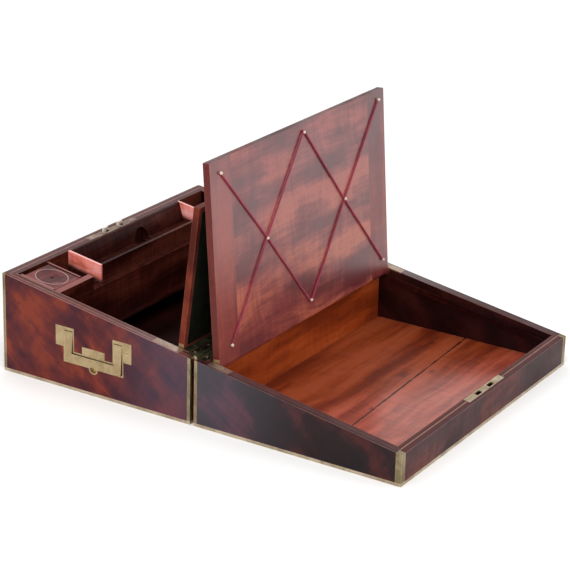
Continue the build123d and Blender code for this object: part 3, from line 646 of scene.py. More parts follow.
def new_material(name: str) -> tuple[bpy.types.Material, Graph, bpy.types.Node]:
    """Starts a material.

    Args:
        name: The material's name.

    Returns:
        The material, its graph and its Principled shader.
    """
    material = bpy.data.materials.new(name)
    material.use_nodes = True
    return material, Graph(material.node_tree), material.node_tree.nodes["Principled BSDF"]


@dataclass(frozen=True)
class Wood:
    """A polished mahogany board.

    Attributes:
        name: The material's name.
        colours: Colours of its figure.
        grain: Which way the grain runs.
        flame: Length and width of the figure's clouds, in metres, and their slant.
        seed: Shifts the board along the texture, so that no two look alike.
        gloss: Weight of the polish.
        rough: Roughness of the polish.
        depth: Refractive index of the polish.
        haze: Plain reflection of the wood under it.
        rim: The rim's bands, for a wall of the case.
        inside: Colours of a wall's inner face.
        inner_gloss: Share of the polish on a wall's inner face.
        under: Colours of the face that looks down, where it differs.
        tilt: Turn about X before the grain's own turn.
        worn_and_lit: Colour of rubbed edges and of the ring, also used as painted light on faces
            that look up.
        painted_top_light: How much the top faces lighten, as painted light.
        painted_light_fade: Slow change of its polish, and of its colour as painted light and shade.
        ends: Colour factor of its end faces, square to X, and of faces that look up.
        streaks: Strength of the fine streaks.
        crack: Whether the crack between the floor's boards stains it.
        ring: Whether a pale ring of wear runs round it, as on the pounce dish.
    """

    name: str
    colours: Palette
    grain: Grain = Grain.ACROSS
    flame: tuple[float, float, float] = (0.12, 0.045, 0.0)
    seed: float = 0.0
    gloss: float = 1.0
    rough: float = 0.22
    depth: float = 1.5
    haze: float = 0.22
    rim: Rim | None = None
    inside: Palette = INSIDE_DARK
    inner_gloss: float = 0.2
    under: Palette | None = None
    tilt: float = 0.0
    worn_and_lit: Colour = (0.42, 0.20, 0.15)
    painted_top_light: float = 0.0
    painted_light_fade: PaintedLightFade | None = None
    ends: Colour | None = None
    streaks: float = 0.9
    crack: bool = False
    ring: bool = False

    def figure(self, graph: Graph, effects: Effects) -> bpy.types.Node:
        """Places the shared figure, turned to the board's own grain.

        Args:
            graph: The material's graph.
            effects: The shared node groups.

        Returns:
            The figure's node.
        """
        values = {"Vector": graph.object_place(), "Rotation": (self.tilt, 0.0, 0.0)}
        upright = graph.node("ShaderNodeMapping", values).outputs[0]
        shifted = (self.seed, self.seed * 0.7, 0.0)
        values = {"Vector": upright, "Rotation": self.grain.value, "Location": shifted}
        turned = graph.node("ShaderNodeMapping", values).outputs[0]
        length, width, slant = self.flame
        values = {"Vector": turned, "Flame Length": length, "Flame Width": width, "Slant": slant}
        return graph.group(effects.figure, values)

    def colour(self, graph: Graph, figure: bpy.types.Node, colours: Palette) -> Socket:
        """Colour of one palette over the figure.

        Args:
            graph: The material's graph.
            figure: The figure's node.
            colours: The palette.

        Returns:
            The colour.
        """
        streak = graph.math(Op.SUBTRACT, figure.outputs["Streak"], 0.5)
        streak = graph.math(Op.MULTIPLY, streak, self.streaks)
        return graph.ramp(graph.math(Op.ADD, figure.outputs["Figure"], streak), colours.stops())

    def stained(self, graph: Graph, colour: Socket) -> Socket:
        """Darkens the floor along its crack, with a few spilt spots.

        Args:
            graph: The material's graph.
            colour: The floor's colour.

        Returns:
            The stained colour.
        """
        place = graph.object_place()
        x, y, _ = graph.parts(place)
        across = graph.math(Op.SUBTRACT, y, graph.math(Op.MULTIPLY, x, CRACK_SLOPE))
        away = graph.math(Op.ABSOLUTE, graph.math(Op.ADD, across, CRACK_Y))
        noise = graph.math(Op.SUBTRACT, RAGGED.value(graph, place), 0.5)
        ragged = graph.math(Op.ADD, away, graph.math(Op.MULTIPLY, noise, RAGGED_REACH))
        near = graph.spread(ragged, CRACK_ZONE, (0.0, 0.85))
        zone = graph.spread(away, SPOT_ZONE, (0.15, 0.6))
        spots = graph.math(Op.MULTIPLY, SPOTS.mask(graph, place), zone)
        return graph.mix(near, graph.mix(spots, colour, SPOT_COLOUR), CRACK_COLOUR)

    def ringed(self, graph: Graph, colour: Socket) -> Socket:
        """Adds the pale ring of wear round the pounce dish.

        Args:
            graph: The material's graph.
            colour: The dish's colour.

        Returns:
            The colour with its ring.
        """
        offset = graph.shift(Op.SUBTRACT, graph.object_place(), DISH_MIDDLE)
        away = graph.measure(Op.LENGTH, graph.shift(Op.MULTIPLY, offset, FLATTEN))
        return graph.mix(graph.spread(away, RING_EDGE, (0.0, 0.75)), colour, self.worn_and_lit)

    def cased(
        self, graph: Graph, effects: Effects, figure: bpy.types.Node, colour: Socket, shine: Value
    ) -> tuple[Socket, Socket]:
        """Tells a case wall's inner face and its banded rim from its outside.

        Args:
            graph: The material's graph.
            effects: The shared node groups.
            figure: The figure's node.
            colour: The outside's colour.
            shine: The outside's polish.

        Returns:
            The wall's colour and polish.
        """
        zones = graph.group(effects.zones, {}).outputs
        colour = graph.mix(zones["Inside"], colour, self.colour(graph, figure, self.inside))
        bands = graph.ramp(zones["Depth"], list(self.rim.value))
        tones = graph.ramp(figure.outputs["Streak"], RIM_TONES)
        varied = graph.mix(0.45, bands, graph.mix(1.0, bands, tones, Blend.MULTIPLY))
        kept = graph.spread(zones["Inside"], (0.0, 1.0), (1.0, self.inner_gloss))
        return graph.mix(zones["Rim"], colour, varied), graph.math(Op.MULTIPLY, shine, kept)

    def faced(
        self, graph: Graph, figure: bpy.types.Node, colour: Socket, shine: Value
    ) -> tuple[Socket, Value]:
        """Changes the faces that look down, up or along X, and paints light on the faces that look
        up.

        Args:
            graph: The material's graph.
            figure: The figure's node.
            colour: The board's colour.
            shine: The board's polish.

        Returns:
            The changed colour and polish.
        """
        along_x, _, up = graph.facing()
        if self.under is not None:
            down = graph.spread(up, (-FACING[0], -FACING[1]))
            colour = graph.mix(down, colour, self.colour(graph, figure, self.under))
        # Painted light: faces that look up are lightened toward the pale edge colour.
        if self.painted_top_light:
            colour = graph.mix(graph.spread(up, FACING, (0.0, self.painted_top_light)), colour, self.worn_and_lit)
        if self.ends is not None:
            outward = graph.math(Op.MAXIMUM, graph.math(Op.ABSOLUTE, along_x), up)
            end = graph.spread(outward, FACING)
            colour = graph.mix(end, colour, graph.mix(1.0, colour, self.ends, Blend.MULTIPLY))
            shine = graph.math(Op.MULTIPLY, shine, graph.spread(outward, FACING, (1.0, 0.1)))
        return colour, shine

    def make(self, effects: Effects) -> bpy.types.Material:
        """Builds the board's material.

        Args:
            effects: The shared node groups.

        Returns:
            The material.
        """
        material, graph, shader = new_material(self.name)
        figure = self.figure(graph, effects)
        colour = self.colour(graph, figure, self.colours)
        shine: Value = self.gloss
        if self.crack:
            colour = self.stained(graph, colour)
        # Painted light and shade: the colour is multiplied by a slow factor along one direction,
        # and the polish changes with it.
        if self.painted_light_fade is not None:
            factor, shine = self.painted_light_fade.sockets(graph, self.gloss)
            colour = graph.mix(1.0, colour, factor, Blend.MULTIPLY)
        if self.rim is not None:
            colour, shine = self.cased(graph, effects, figure, colour, shine)
        if self.ring:
            colour = self.ringed(graph, colour)
        colour, shine = self.faced(graph, figure, colour, shine)
        edges = effects.rubbed(graph, radius=0.0007, evenness=0.45)
        colour = graph.patch(edges, 0.55, colour, self.worn_and_lit)
        colour = graph.patch(figure.outputs["Pore"], 0.4, colour, self.colours.dark)
        roughness = DULLNESS.mask(graph, graph.object_place(), (0.34, 0.50))
        graph.feed(shader.inputs["Base Color"], colour)
        graph.feed(shader.inputs["Coat Weight"], shine)
        graph.feed(shader.inputs["Roughness"], roughness)
        graph.bump(shader, figure.outputs["Relief"], strength=0.12, depth=0.0002)
        shader.inputs["Coat Roughness"].default_value = self.rough
        shader.inputs["Coat IOR"].default_value = self.depth
        shader.inputs["Specular IOR Level"].default_value = self.haze * self.gloss
        return material


@dataclass(frozen=True)
class Brass:
    """Old brass, handled and softly polished.

    Attributes:
        name: The material's name.
        bright: Colour of clean metal.
        dull: Colour of tarnish.
        rough: Roughness of clean metal.
        speck: Colour of dark specks.
        rubbed: Colour of rubbed edges.
    """

    name: str
    bright: Colour
    dull: Colour
    rough: float = 0.34
    speck: Colour = (0.12, 0.085, 0.04)
    rubbed: Colour = (0.80, 0.68, 0.44)

    def make(self, effects: Effects) -> bpy.types.Material:
        """Builds the metal's material.

        Args:
            effects: The shared node groups.

        Returns:
            The material.
        """
        material, graph, shader = new_material(self.name)
        old = graph.group(effects.tarnish, {}).outputs
        colour = graph.mix(graph.math(Op.MULTIPLY, old["Patches"], 0.75), self.bright, self.dull)
        colour = graph.patch(old["Specks"], 0.5, colour, self.speck)
        edges = effects.rubbed(graph, radius=0.0005, evenness=0.7)
        colour = graph.patch(edges, 0.6, colour, self.rubbed)
        roughness = graph.spread(old["Patches"], (0.0, 1.0), (self.rough, self.rough + 0.2))
        pits = graph.math(Op.MULTIPLY, old["Specks"], 0.6)
        height = graph.math(Op.SUBTRACT, old["Scratches"], pits)
        graph.feed(shader.inputs["Base Color"], colour)
        graph.feed(shader.inputs["Roughness"], roughness)
        graph.bump(shader, height, strength=0.2, depth=0.0001)
        shader.inputs["Metallic"].default_value = 1.0
        return material


@dataclass(frozen=True)
class Velvet:
    """Dark green velvet, its pile rubbed and pressed.

    Attributes:
        name: The material's name.
        worn_share: How much of it is rubbed.
        pile: Colour of standing pile.
        rubbed: Colour where it is rubbed down.
        sheen: Colour of the light along its pile.
    """

    name: str
    worn_share: float
    pile: Colour = (0.003, 0.004, 0.002)
    rubbed: Colour = (0.075, 0.078, 0.030)
    sheen: Colour = (0.35, 0.45, 0.22)

    def make(self, effects: Effects) -> bpy.types.Material:
        """Builds the cloth's material.

        Args:
            effects: The shared node groups, of which it needs none.

        Returns:
            The material.
        """
        material, graph, shader = new_material(self.name)
        place = graph.object_place()
        tufts = TUFTS.value(graph, place)
        pressed = PRESSED.mask(graph, place, (0.0, self.worn_share))
        between = graph.spread(tufts, TUFTS.shown, (0.0, 0.6))
        colour = graph.mix(between, graph.mix(pressed, self.pile, self.rubbed), self.pile)
        graph.feed(shader.inputs["Base Color"], colour)
        graph.bump(shader, tufts, strength=0.6, depth=0.0004)
        shader.inputs["Roughness"].default_value = 0.95
        shader.inputs["Specular IOR Level"].default_value = 0.1
        shader.inputs["Sheen Weight"].default_value = 0.4 * self.worn_share
        shader.inputs["Sheen Tint"].default_value = (*self.sheen, 1.0)
        shader.inputs["Sheen Roughness"].default_value = 0.4
        return material


@dataclass(frozen=True)
class Bone:
    """Polished bone of the small studs.

    Attributes:
        name: The material's name.
        creamy: Colour of its deeper clouds.
        pale: Colour of its paler clouds.
        fleck: Colour of its fine brown flecks.
        rubbed: Colour of rubbed edges.
    """

    name: str
    creamy: Colour = (0.55, 0.47, 0.37)
    pale: Colour = (0.66, 0.59, 0.49)
    fleck: Colour = (0.40, 0.27, 0.16)
    rubbed: Colour = (0.93, 0.9, 0.84)

    def make(self, effects: Effects) -> bpy.types.Material:
        """Builds the bone's material.

        Args:
            effects: The shared node groups.

        Returns:
            The material.
        """
        material, graph, shader = new_material(self.name)
        place = graph.object_place()
        clouds = CREAM.mask(graph, place)
        colour = graph.mix(clouds, self.creamy, self.pale)
        colour = graph.patch(FLECKS.mask(graph, place), 0.5, colour, self.fleck)
        edges = effects.rubbed(graph, radius=0.0004, evenness=0.7)
        colour = graph.patch(edges, 0.4, colour, self.rubbed)
        graph.feed(shader.inputs["Base Color"], colour)
        graph.feed(shader.inputs["Roughness"], graph.spread(clouds, (0.0, 1.0), (0.22, 0.34)))
        shader.inputs["Subsurface Weight"].default_value = 0.15
        shader.inputs["Subsurface Radius"].default_value = (0.002, 0.0012, 0.0008)
        return material


@dataclass(frozen=True)
class Cotton:
    """Burgundy cord with its fine fibres.

    Attributes:
        name: The material's name.
        deep: Colour of its deeper patches.
        bright: Colour of its brighter patches.
        fibre: Colour of the fibres that catch the light.
        sheen: Colour of the light along its fibres.
    """

    name: str
    deep: Colour = (0.200, 0.010, 0.034)
    bright: Colour = (0.320, 0.020, 0.060)
    fibre: Colour = (0.460, 0.060, 0.115)
    sheen: Colour = (0.9, 0.4, 0.5)

    def make(self, effects: Effects) -> bpy.types.Material:
        """Builds the cord's material.

        Args:
            effects: The shared node groups, of which it needs none.

        Returns:
            The material.
        """
        material, graph, shader = new_material(self.name)
        place = graph.object_place()
        fibres = FIBRES.value(graph, place)
        caught = graph.spread(fibres, FIBRES.shown, (0.0, 0.5))
        dyed = graph.mix(DYE.mask(graph, place), self.deep, self.bright)
        graph.feed(shader.inputs["Base Color"], graph.mix(caught, dyed, self.fibre))
        graph.bump(shader, fibres, strength=0.5, depth=0.0002)
        shader.inputs["Roughness"].default_value = 0.75
        shader.inputs["Sheen Weight"].default_value = 0.25
        shader.inputs["Sheen Tint"].default_value = (*self.sheen, 1.0)
        return material


FINISHES: dict[str, Wood | Brass | Velvet | Bone | Cotton] = {
    "base_side": Wood(
        "base_side", OUTSIDE, Grain.DEEP, flame=(0.048, 0.028, -0.15), seed=0.13, gloss=0.9,
        haze=0.12, rim=Rim.SIDE, tilt=math.radians(-38.0), streaks=0.5,
        # Painted reflection: toward the middle joint the side turns duller and bluish.
        painted_light_fade=PaintedLightFade(ALONG, 0.13, 0.010, last=(0.45, 0.34, 1.6), shine=(0.08, 0.90)),
    ),
    "lid_side": Wood(
        "lid_side", OUTSIDE_LID, Grain.DEEP, flame=(0.07, 0.035, -0.3), seed=2.31, gloss=0.9,
        rim=Rim.LID_SIDE, tilt=math.radians(-30.0), streaks=0.6,
        # Painted reflection: near the middle joint the side is lighter and strongly bluish.
        painted_light_fade=PaintedLightFade(ALONG, -0.01, -0.16, first=(1.2, 1.5, 5.0), shine=(1.0, 0.05)),
    ),
    "end": Wood(
        "thin_end", OUTSIDE_END, Grain.ACROSS, flame=(0.10, 0.045, -0.6), seed=4.7, gloss=0.24,
        rim=Rim.THIN_END,
    ),
    "back": Wood(
        "tall_back", OUTSIDE, Grain.ACROSS, flame=(0.12, 0.05, -0.5), seed=1.9, gloss=0.25,
        rim=Rim.BACK, inside=ROW,
    ),
    "middle": Wood(
        "middle_walls", OUTSIDE_END, Grain.ACROSS, flame=(0.2, 0.03, 0.1), seed=3.3, gloss=0.25,
        rim=Rim.SIDE, inside=INSIDE_WARM, streaks=0.5,
    ),
    "floor": Wood(
        "lid_floor", FLOOR, Grain.ACROSS, flame=(0.26, 0.020, 0.05), seed=7.1, gloss=0.75,
        rough=0.20, under=OUTSIDE, streaks=0.5, crack=True,
        # Partly the boards' own tone and partly painted reflection: toward the thin end the floor
        # turns paler and bluish.
        painted_light_fade=PaintedLightFade(
            (0.3, 1.0, 0.0), -0.10, -0.19,
            first=(0.95, 0.90, 0.82), last=(1.75, 1.8, 3.2), shine=(0.03, 1.0),
        ),
    ),
    "bottom": Wood(
        "dark_bottom", INSIDE_DARK, Grain.ACROSS, flame=(0.14, 0.05, 0.0), seed=5.5, gloss=0.4
    ),
    "panel": Wood(
        "flap_panel", FLAP, Grain.ACROSS, flame=(0.11, 0.034, 0.1), seed=0.47, rough=0.26,
        depth=1.62, tilt=-FLAP_TILT, ends=(0.45, 0.22, 0.12), streaks=0.8,
        # Painted reflection: low on the flap the panel is paler and less red, high up slightly
        # bluish.
        painted_light_fade=PaintedLightFade(
            UPWARDS, 0.13, 0.26,
            first=(1.35, 1.9, 1.6), last=(1.0, 1.0, 1.15), shine=(0.62, 1.0),
        ),
    ),
    "cleat": Wood(
        "flap_cleats", CLEAT, Grain.DEEP, flame=(0.20, 0.04, 0.1), seed=6.2, rough=0.26,
        depth=1.62, tilt=-FLAP_TILT, ends=(0.45, 0.22, 0.12), streaks=0.6,
        # Painted reflection: low on the flap the cleats are paler, high up darker.
        painted_light_fade=PaintedLightFade(
            UPWARDS, 0.15, 0.28,
            first=(1.1, 1.3, 1.1), last=(0.85, 0.85, 1.0), shine=(0.62, 1.0),
        ),
    ),
    "rear_flap": Wood(
        "rear_flap", REAR, Grain.ACROSS, flame=(0.12, 0.04, 0.1), seed=8.4, gloss=0.3,
        tilt=-REAR_TILT, ends=(0.9, 0.7, 0.5), streaks=0.6,
    ),
    "row": Wood(
        "pen_row", ROW, Grain.ACROSS, flame=(0.16, 0.04, 0.1), seed=9.2, gloss=0.12,
        worn_and_lit=(0.38, 0.19, 0.16),
    ),
    "tray": Wood(
        "pen_tray", ROW, Grain.ACROSS, flame=(0.16, 0.04, 0.1), seed=7.7, gloss=0.17,
        worn_and_lit=(0.32, 0.14, 0.11),
    ),
    "board": Wood(
        "compartment_boards", ROW, Grain.ACROSS, flame=(0.16, 0.04, 0.1), seed=5.3, gloss=0.2,
        # Painted light: the fronts' top faces are fully lightened.
        worn_and_lit=(0.26, 0.085, 0.078), painted_top_light=1.0,
    ),
    "salmon": Wood(
        "tray_plates", SALMON, Grain.DEEP, flame=(0.05, 0.02, 0.2), seed=1.1, gloss=0.4,
        # Painted light on the top faces. Painted shadow: below a slanted line the plates are
        # darkened nearly to black where the partition shades them, and above it they are lightened.
        worn_and_lit=(0.80, 0.50, 0.46), painted_top_light=0.7,
        painted_light_fade=PaintedLightFade(
            (0.0, -0.22, 1.0), 0.042, 0.049, first=(0.04, 0.03, 0.03), last=(1.25, 1.3, 1.4)
        ),
    ),
    "partition": Wood(
        # Near-black sides, partly painted shade of the deep ink well, and painted light on the
        # partition's top faces.
        "partition", INSIDE_DARK, Grain.DEEP, flame=(0.05, 0.02, 0.2), seed=2.1, gloss=0.2,
        worn_and_lit=(0.32, 0.13, 0.12), painted_top_light=0.85,
    ),
    "mauve": Wood(
        "pounce_block", MAUVE, Grain.ACROSS, flame=(0.05, 0.02, 0.2), seed=3.8, gloss=0.3,
        worn_and_lit=(0.20, 0.075, 0.070),
    ),
    "dish": Wood(
        "pounce_dish", MAUVE, Grain.ACROSS, flame=(0.03, 0.02, 0.2), seed=3.9, gloss=0.25,
        worn_and_lit=(0.50, 0.34, 0.31), ring=True,
    ),
    "rail": Wood(
        "rails", ROW, Grain.ACROSS, flame=(0.14, 0.04, 0.0), seed=4.4, gloss=0.25,
        worn_and_lit=(0.16, 0.06, 0.05),
    ),
    "ledge": Wood(
        "ledges", INSIDE_DARK, Grain.DEEP, flame=(0.14, 0.04, 0.0), seed=6.9, gloss=0.2,
        worn_and_lit=(0.12, 0.045, 0.035),
    ),
    "brass": Brass("old_brass", (0.44, 0.335, 0.185), (0.35, 0.255, 0.135)),
    "edge_strip": Brass("edge_brass", (0.56, 0.46, 0.34), (0.34, 0.26, 0.17), 0.42),
    # The corner straps' brass is darker throughout than the other brass.
    "corner_strap": Brass("corner_brass", (0.31, 0.245, 0.145), (0.18, 0.135, 0.070), 0.42),
    "strike_brass": Brass("strike_brass", (0.52, 0.43, 0.29), (0.34, 0.26, 0.16), 0.36),
    "lock_brass": Brass("lock_brass", (0.30, 0.22, 0.18), (0.20, 0.14, 0.115), 0.36),
    "pivot_brass": Brass("pivot_brass", (0.50, 0.375, 0.30), (0.34, 0.24, 0.19), 0.36),
    "leaf_brass": Brass("hinge_brass", (0.66, 0.58, 0.36), (0.16, 0.15, 0.06), 0.26),
    "steel": Brass("bright_hooks", (0.95, 0.92, 0.86), (0.80, 0.74, 0.64), 0.55),
    "rail_velvet": Velvet("rail_velvet", 0.5),
    "flap_velvet": Velvet("flap_velvet", 0.08),
    "bone": Bone("bone"),
    "cord": Cotton("burgundy_cord"),
}

NODE_FINISHES: dict[str, tuple[str, ...]] = {
    "base_side": ("base_near_side", "base_far_side"),
    "lid_side": ("lid_near_side", "lid_far_side"),
    "end": ("lid_thin_end",),
    "back": ("base_back_wall",),
    "middle": ("base_front_wall", "lid_back_wall"),
    "floor": ("lid_floor_boards",),
    "bottom": ("base_bottom_board",),
    "panel": ("front_flap_panel",),
    "cleat": ("front_flap_cleats",),
    "rear_flap": ("rear_flap_board",),
    "row": ("row_front_panel", "row_dividers"),
    "tray": ("pen_tray", "row_shelf"),
    "board": ("compartment_fronts",),
    "salmon": ("tray_end_plates",),
    "partition": ("well_partition",),
    "mauve": ("sander_block",),
    "dish": ("sander_dish",),
    "rail": ("base_centre_rail", "lid_centre_rail"),
    "ledge": ("base_flap_ledges", "lid_flap_ledges"),
    "edge_strip": ("base_edge_brass", "lid_edge_brass"),
    "corner_strap": ("base_corner_brass", "lid_corner_brass"),
    "leaf_brass": ("base_hinge_leaves", "lid_hinge_leaves", "hinge_pins"),
    "brass": (
        "front_flap_pivots", "rear_flap_pivots", "handle_screws", "handle_pins",
        "near_handle_plate", "far_handle_plate", "near_bail", "far_bail", "keyhole_escutcheon",
    ),
    "strike_brass": ("strike_plate",),
    "lock_brass": ("lock_case", "lock_cap"),
    "pivot_brass": ("base_pivot_plates", "lid_pivot_plates", "base_rim_screws", "lid_rim_screws"),
    "steel": ("lock_bolt", "lock_spring", "lock_key_pin"),
    "rail_velvet": ("base_rail_velvet", "lid_rail_velvet"),
    "flap_velvet": ("front_flap_velvet", "rear_flap_velvet"),
    "bone": ("lattice_studs",),
    "cord": ("lattice_cord",),
}


@dataclass
class Lattice:
    """Two zigzag cords over the studs on the front flap's underside.

    Attributes:
        pivot: The flap's pivot line, as its Y and Z.
        tilt: The flap's angle at rest, in radians.
        lift: The first cord's height over the flap's middle plane.
        over: How much higher the second cord lies.
        radius: Radius of a whole cord.
        strands: How many strands are twisted into it.
        strand_share: A strand's radius as a share of the cord's.
        sides: Sides of a strand's tube.
        pitch: Length of one turn of a strand.
        steps: Points along one turn.
        wrap: How far from a stud's middle the cord turns round it.
        turns: Angles at which the cord has a point as it passes a stud, in radians.
        studs: Each stud's place along the pivot and up the flap, in millimetres.
        cords: The studs that each cord passes.
    """

    pivot: tuple[float, float] = (-22.3 * MM, 67.7811 * MM)
    tilt: float = FLAP_TILT
    lift: float = 5.15 * MM
    over: float = 0.25 * MM
    radius: float = 1.1 * MM
    strands: int = 3
    strand_share: float = 0.52
    sides: int = 6
    pitch: float = 4.2 * MM
    steps: int = 9
    wrap: float = 1.55 * MM
    turns: tuple[float, ...] = (-1.1, -0.55, 0.0, 0.55, 1.1)
    studs: dict[str, tuple[float, float]] = field(
        default_factory=lambda: {
            "near_top": (-159.5, 205.8),
            "near_bottom": (-154.9, 17.7),
            "near_middle": (-78.7, 113.4),
            "centre_top": (1.6, 209.9),
            "centre_bottom": (3.5, 18.1),
            "far_middle": (82.6, 113.4),
            "far_top": (162.8, 209.2),
            "far_bottom": (163.5, 17.6),
        }
    )
    cords: tuple[tuple[str, ...], ...] = (
        ("near_top", "near_middle", "centre_bottom", "far_middle", "far_top"),
        ("near_bottom", "near_middle", "centre_top", "far_middle", "far_bottom"),
    )

    def out(self) -> Vector:
        """Direction away from the flap's underside."""
        return Vector((0.0, -math.sin(self.tilt), math.cos(self.tilt)))

    def place(self, x: float, u: float, w: float) -> Vector:
        """Point of the flap in the shared frame.

        Args:
            x: Place along the pivot.
            u: Distance up the flap.
            w: Height over its middle plane, on the underside.

        Returns:
            The point.
        """
        up = Vector((0.0, math.cos(self.tilt), math.sin(self.tilt)))
        return Vector((x, self.pivot[0], self.pivot[1])) + up * u + self.out() * w

    def around(self, before: Vector, spot: Vector, after: Vector) -> list[Vector]:
        """Points of a cord as it passes a stud, on the outside of its turn.

        Args:
            before: The stud before it.
            spot: The stud.
            after: The stud after it.

        Returns:
            The points in order.
        """
        outward = ((spot - before).normalized() + (spot - after).normalized()).normalized()
        points = [spot + Matrix.Rotation(turn, 3, "Z") @ outward * self.wrap for turn in self.turns]
        if (points[0] - before).length > (points[-1] - before).length:
            points.reverse()
        return points

    def path(self, names: tuple[str, ...], level: float) -> list[Vector]:
        """Middle line of one cord.

        Args:
            names: The studs in order.
            level: Extra height, where the second cord lies over the first.

        Returns:
            Close points along the line.
        """
        spots = [Vector((*self.studs[name], 0.0)) * MM for name in names]
        corners = [spots[0]]
        for before, spot, after in zip(spots, spots[1:], spots[2:]):
            corners += self.around(before, spot, after)
        corners.append(spots[-1])
        points: list[Vector] = []
        for start, end in zip(corners, corners[1:]):
            count = max(1, round((end - start).length / (self.pitch / self.steps)))
            points += [start.lerp(end, i / count) for i in range(count)]
        points.append(corners[-1])
        return [self.place(p.x, p.y, self.lift + level) for p in points]

    def strand(
        self,
        line: list[Vector],
        phase: float,
        vertices: list[Vector],
        faces: list[tuple[int, ...]],
    ) -> None:
        """Adds one strand's tube, winding about the middle line.

        Args:
            line: The cord's middle line.
            phase: Where the strand starts round it.
            vertices: The mesh's vertices, added to.
            faces: The mesh's faces, added to.
        """
        thin = self.radius * self.strand_share
        out = self.out()
        travelled = 0.0
        first = len(vertices)
        for index, point in enumerate(line):
            ahead = line[min(index + 1, len(line) - 1)] - line[max(index - 1, 0)]
            side = ahead.normalized().cross(out).normalized()
            if index:
                travelled += (point - line[index - 1]).length
            turn = phase + math.tau * travelled / self.pitch
            offset = side * math.cos(turn) + out * math.sin(turn)
            middle = point + offset * (self.radius - thin)
            for corner in range(self.sides):
                angle = math.tau * corner / self.sides
                vertices.append(middle + (side * math.cos(angle) + out * math.sin(angle)) * thin)
            if index:
                low = first + (index - 1) * self.sides
                high = low + self.sides
                for corner in range(self.sides):
                    other = (corner + 1) % self.sides
                    faces.append((low + corner, low + other, high + other, high + corner))
        faces.append(tuple(reversed(range(first, first + self.sides))))
        faces.append(tuple(range(len(vertices) - self.sides, len(vertices))))

    def build(self, material: bpy.types.Material) -> bpy.types.Object:
        """Makes both cords as one piece on the front flap.

        Args:
            material: The cord's material.

        Returns:
            The piece.
        """
        vertices: list[Vector] = []
        faces: list[tuple[int, ...]] = []
        for level, names in zip((0.0, self.over), self.cords):
            line = self.path(names, level)
            for number in range(self.strands):
                self.strand(line, math.tau * number / self.strands, vertices, faces)
        mesh = bpy.data.meshes.new("paper_lattice")
        mesh.from_pydata([tuple(v) for v in vertices], [], faces)
        mesh.polygons.foreach_set("use_smooth", [True] * len(mesh.polygons))
        mesh.materials.append(material)
        mesh.update()
        piece = bpy.data.objects.new("paper_lattice", mesh)
        bpy.context.scene.collection.objects.link(piece)
        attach(piece, "front_flap")
        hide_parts("lattice_cord")
        return piece


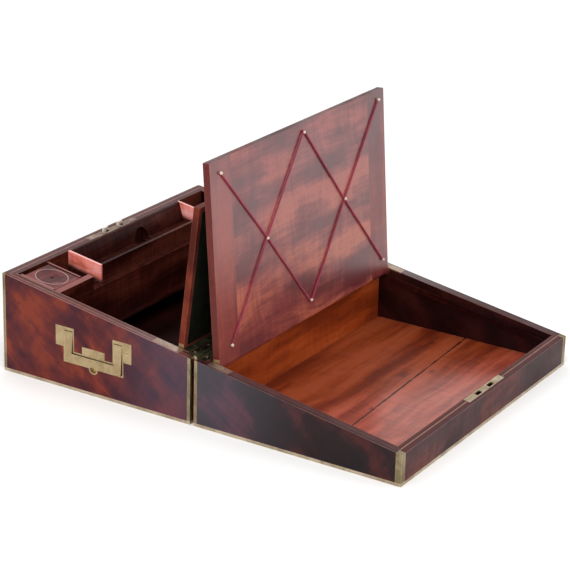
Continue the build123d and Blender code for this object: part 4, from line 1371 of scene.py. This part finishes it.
@dataclass
class Studio:
    """Camera, pale floor and soft light.

    Attributes:
        azimuth: The camera's direction about the object, in degrees.
        elevation: Its height over the horizon, in degrees.
        roll: Its turn about its own axis, in degrees.
        lens: Its focal length, in millimetres.
        sensor: Width of its sensor, in millimetres.
        place: Where it stands, in metres.
        reach: Half the floor's width, in metres.
        sunk: How far the floor lies under the object.
        lamp_place: Where the lamp stands.
        lamp_target: What it faces.
        lamp_size: Its width and height.
        lamp_power: Its power in watts.
        lamp_tint: Its colour.
    """

    azimuth: float = -58.409
    elevation: float = 21.102
    roll: float = 1.612
    lens: float = 132.483
    sensor: float = 36.0
    place: Point = (-1.851605, -1.132557, 0.936354)
    reach: float = 9.0
    sunk: float = 0.4 * MM
    lamp_place: Point = (-1.2, -0.6, 1.8)
    lamp_target: Point = (0.0, 0.0, 0.1)
    lamp_size: tuple[float, float] = (1.2, 1.2)
    lamp_power: float = 18.0
    lamp_tint: Colour = (1.0, 0.98, 0.95)

    def camera(self) -> None:
        """Sets the camera."""
        angles = (self.azimuth, self.elevation, self.roll)
        azimuth, height, roll = (math.radians(angle) for angle in angles)
        level = math.cos(height)
        back = Vector((math.sin(azimuth) * level, -math.cos(azimuth) * level, math.sin(height)))
        sideways = (-back).cross(Vector(UPWARDS)).normalized()
        upright = sideways.cross(-back)
        right = sideways * math.cos(roll) + upright * math.sin(roll)
        up = upright * math.cos(roll) - sideways * math.sin(roll)
        data = bpy.data.cameras.new("camera")
        data.lens = self.lens
        data.sensor_width = self.sensor
        data.clip_end = 50.0
        camera = bpy.data.objects.new("camera", data)
        turn = Matrix((right, up, back)).transposed()
        camera.matrix_world = Matrix.Translation(self.place) @ turn.to_4x4()
        bpy.context.scene.collection.objects.link(camera)
        bpy.context.scene.camera = camera

    def floor(self) -> None:
        """Lays a wide pale floor."""
        corners = ((-1, -1), (1, -1), (1, 1), (-1, 1))
        mesh = bpy.data.meshes.new("floor")
        vertices = [(x * self.reach, y * self.reach, -self.sunk) for x, y in corners]
        mesh.from_pydata(vertices, [], [(0, 1, 2, 3)])
        material, graph, shader = new_material("pale_floor")
        tone = FLOOR_TONE.mask(graph, graph.object_place(), (0.96, 0.98))
        graph.feed(shader.inputs["Base Color"], graph.vector(tone, tone, tone))
        shader.inputs["Roughness"].default_value = 1.0
        shader.inputs["Specular IOR Level"].default_value = 0.0
        mesh.materials.append(material)
        floor = bpy.data.objects.new("floor", mesh)
        bpy.context.scene.collection.objects.link(floor)

    def lamp(self) -> None:
        """Sets the soft lamp."""
        data = bpy.data.lights.new("key", "AREA")
        data.shape = "RECTANGLE"
        data.size, data.size_y = self.lamp_size
        data.energy = self.lamp_power
        data.color = self.lamp_tint
        lamp = bpy.data.objects.new("key", data)
        lamp.location = self.lamp_place
        towards = Vector(self.lamp_target) - Vector(self.lamp_place)
        lamp.rotation_euler = towards.to_track_quat("-Z", "Y").to_euler()
        bpy.context.scene.collection.objects.link(lamp)

    def sky(self) -> None:
        """Sets the white room's even light."""
        world = bpy.data.worlds.new("white_room")
        world.use_nodes = True
        background = world.node_tree.nodes["Background"]
        background.inputs["Color"].default_value = (*WHITE, 1.0)
        background.inputs["Strength"].default_value = 1.0
        bpy.context.scene.world = world

    def build(self) -> None:
        """Sets the whole studio."""
        self.camera()
        self.floor()
        self.sky()
        self.lamp()
        bpy.context.scene.view_settings.view_transform = "Standard"


class Dresser:
    """Gives every piece of the slope its finish."""

    def __init__(self) -> None:
        """Builds the shared effects and every finish."""
        effects = Effects()
        self.materials = {name: finish.make(effects) for name, finish in FINISHES.items()}

    def dress(self) -> None:
        """Puts each finish on its nodes."""
        for finish, nodes in NODE_FINISHES.items():
            for node in nodes:
                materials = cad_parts[node].data.materials
                materials.clear()
                materials.append(self.materials[finish])
                log.info("%s has the finish %s", node, finish)


def main() -> None:
    """Builds the studio and dresses the slope."""
    logging.basicConfig(level=logging.INFO, format="%(name)s: %(message)s")
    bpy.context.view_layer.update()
    Studio().build()
    dresser = Dresser()
    dresser.dress()
    lattice = Lattice().build(dresser.materials["cord"])
    log.info("%s is twisted from %d vertices", lattice.name, len(lattice.data.vertices))


if __name__ == "__main__":
    main()
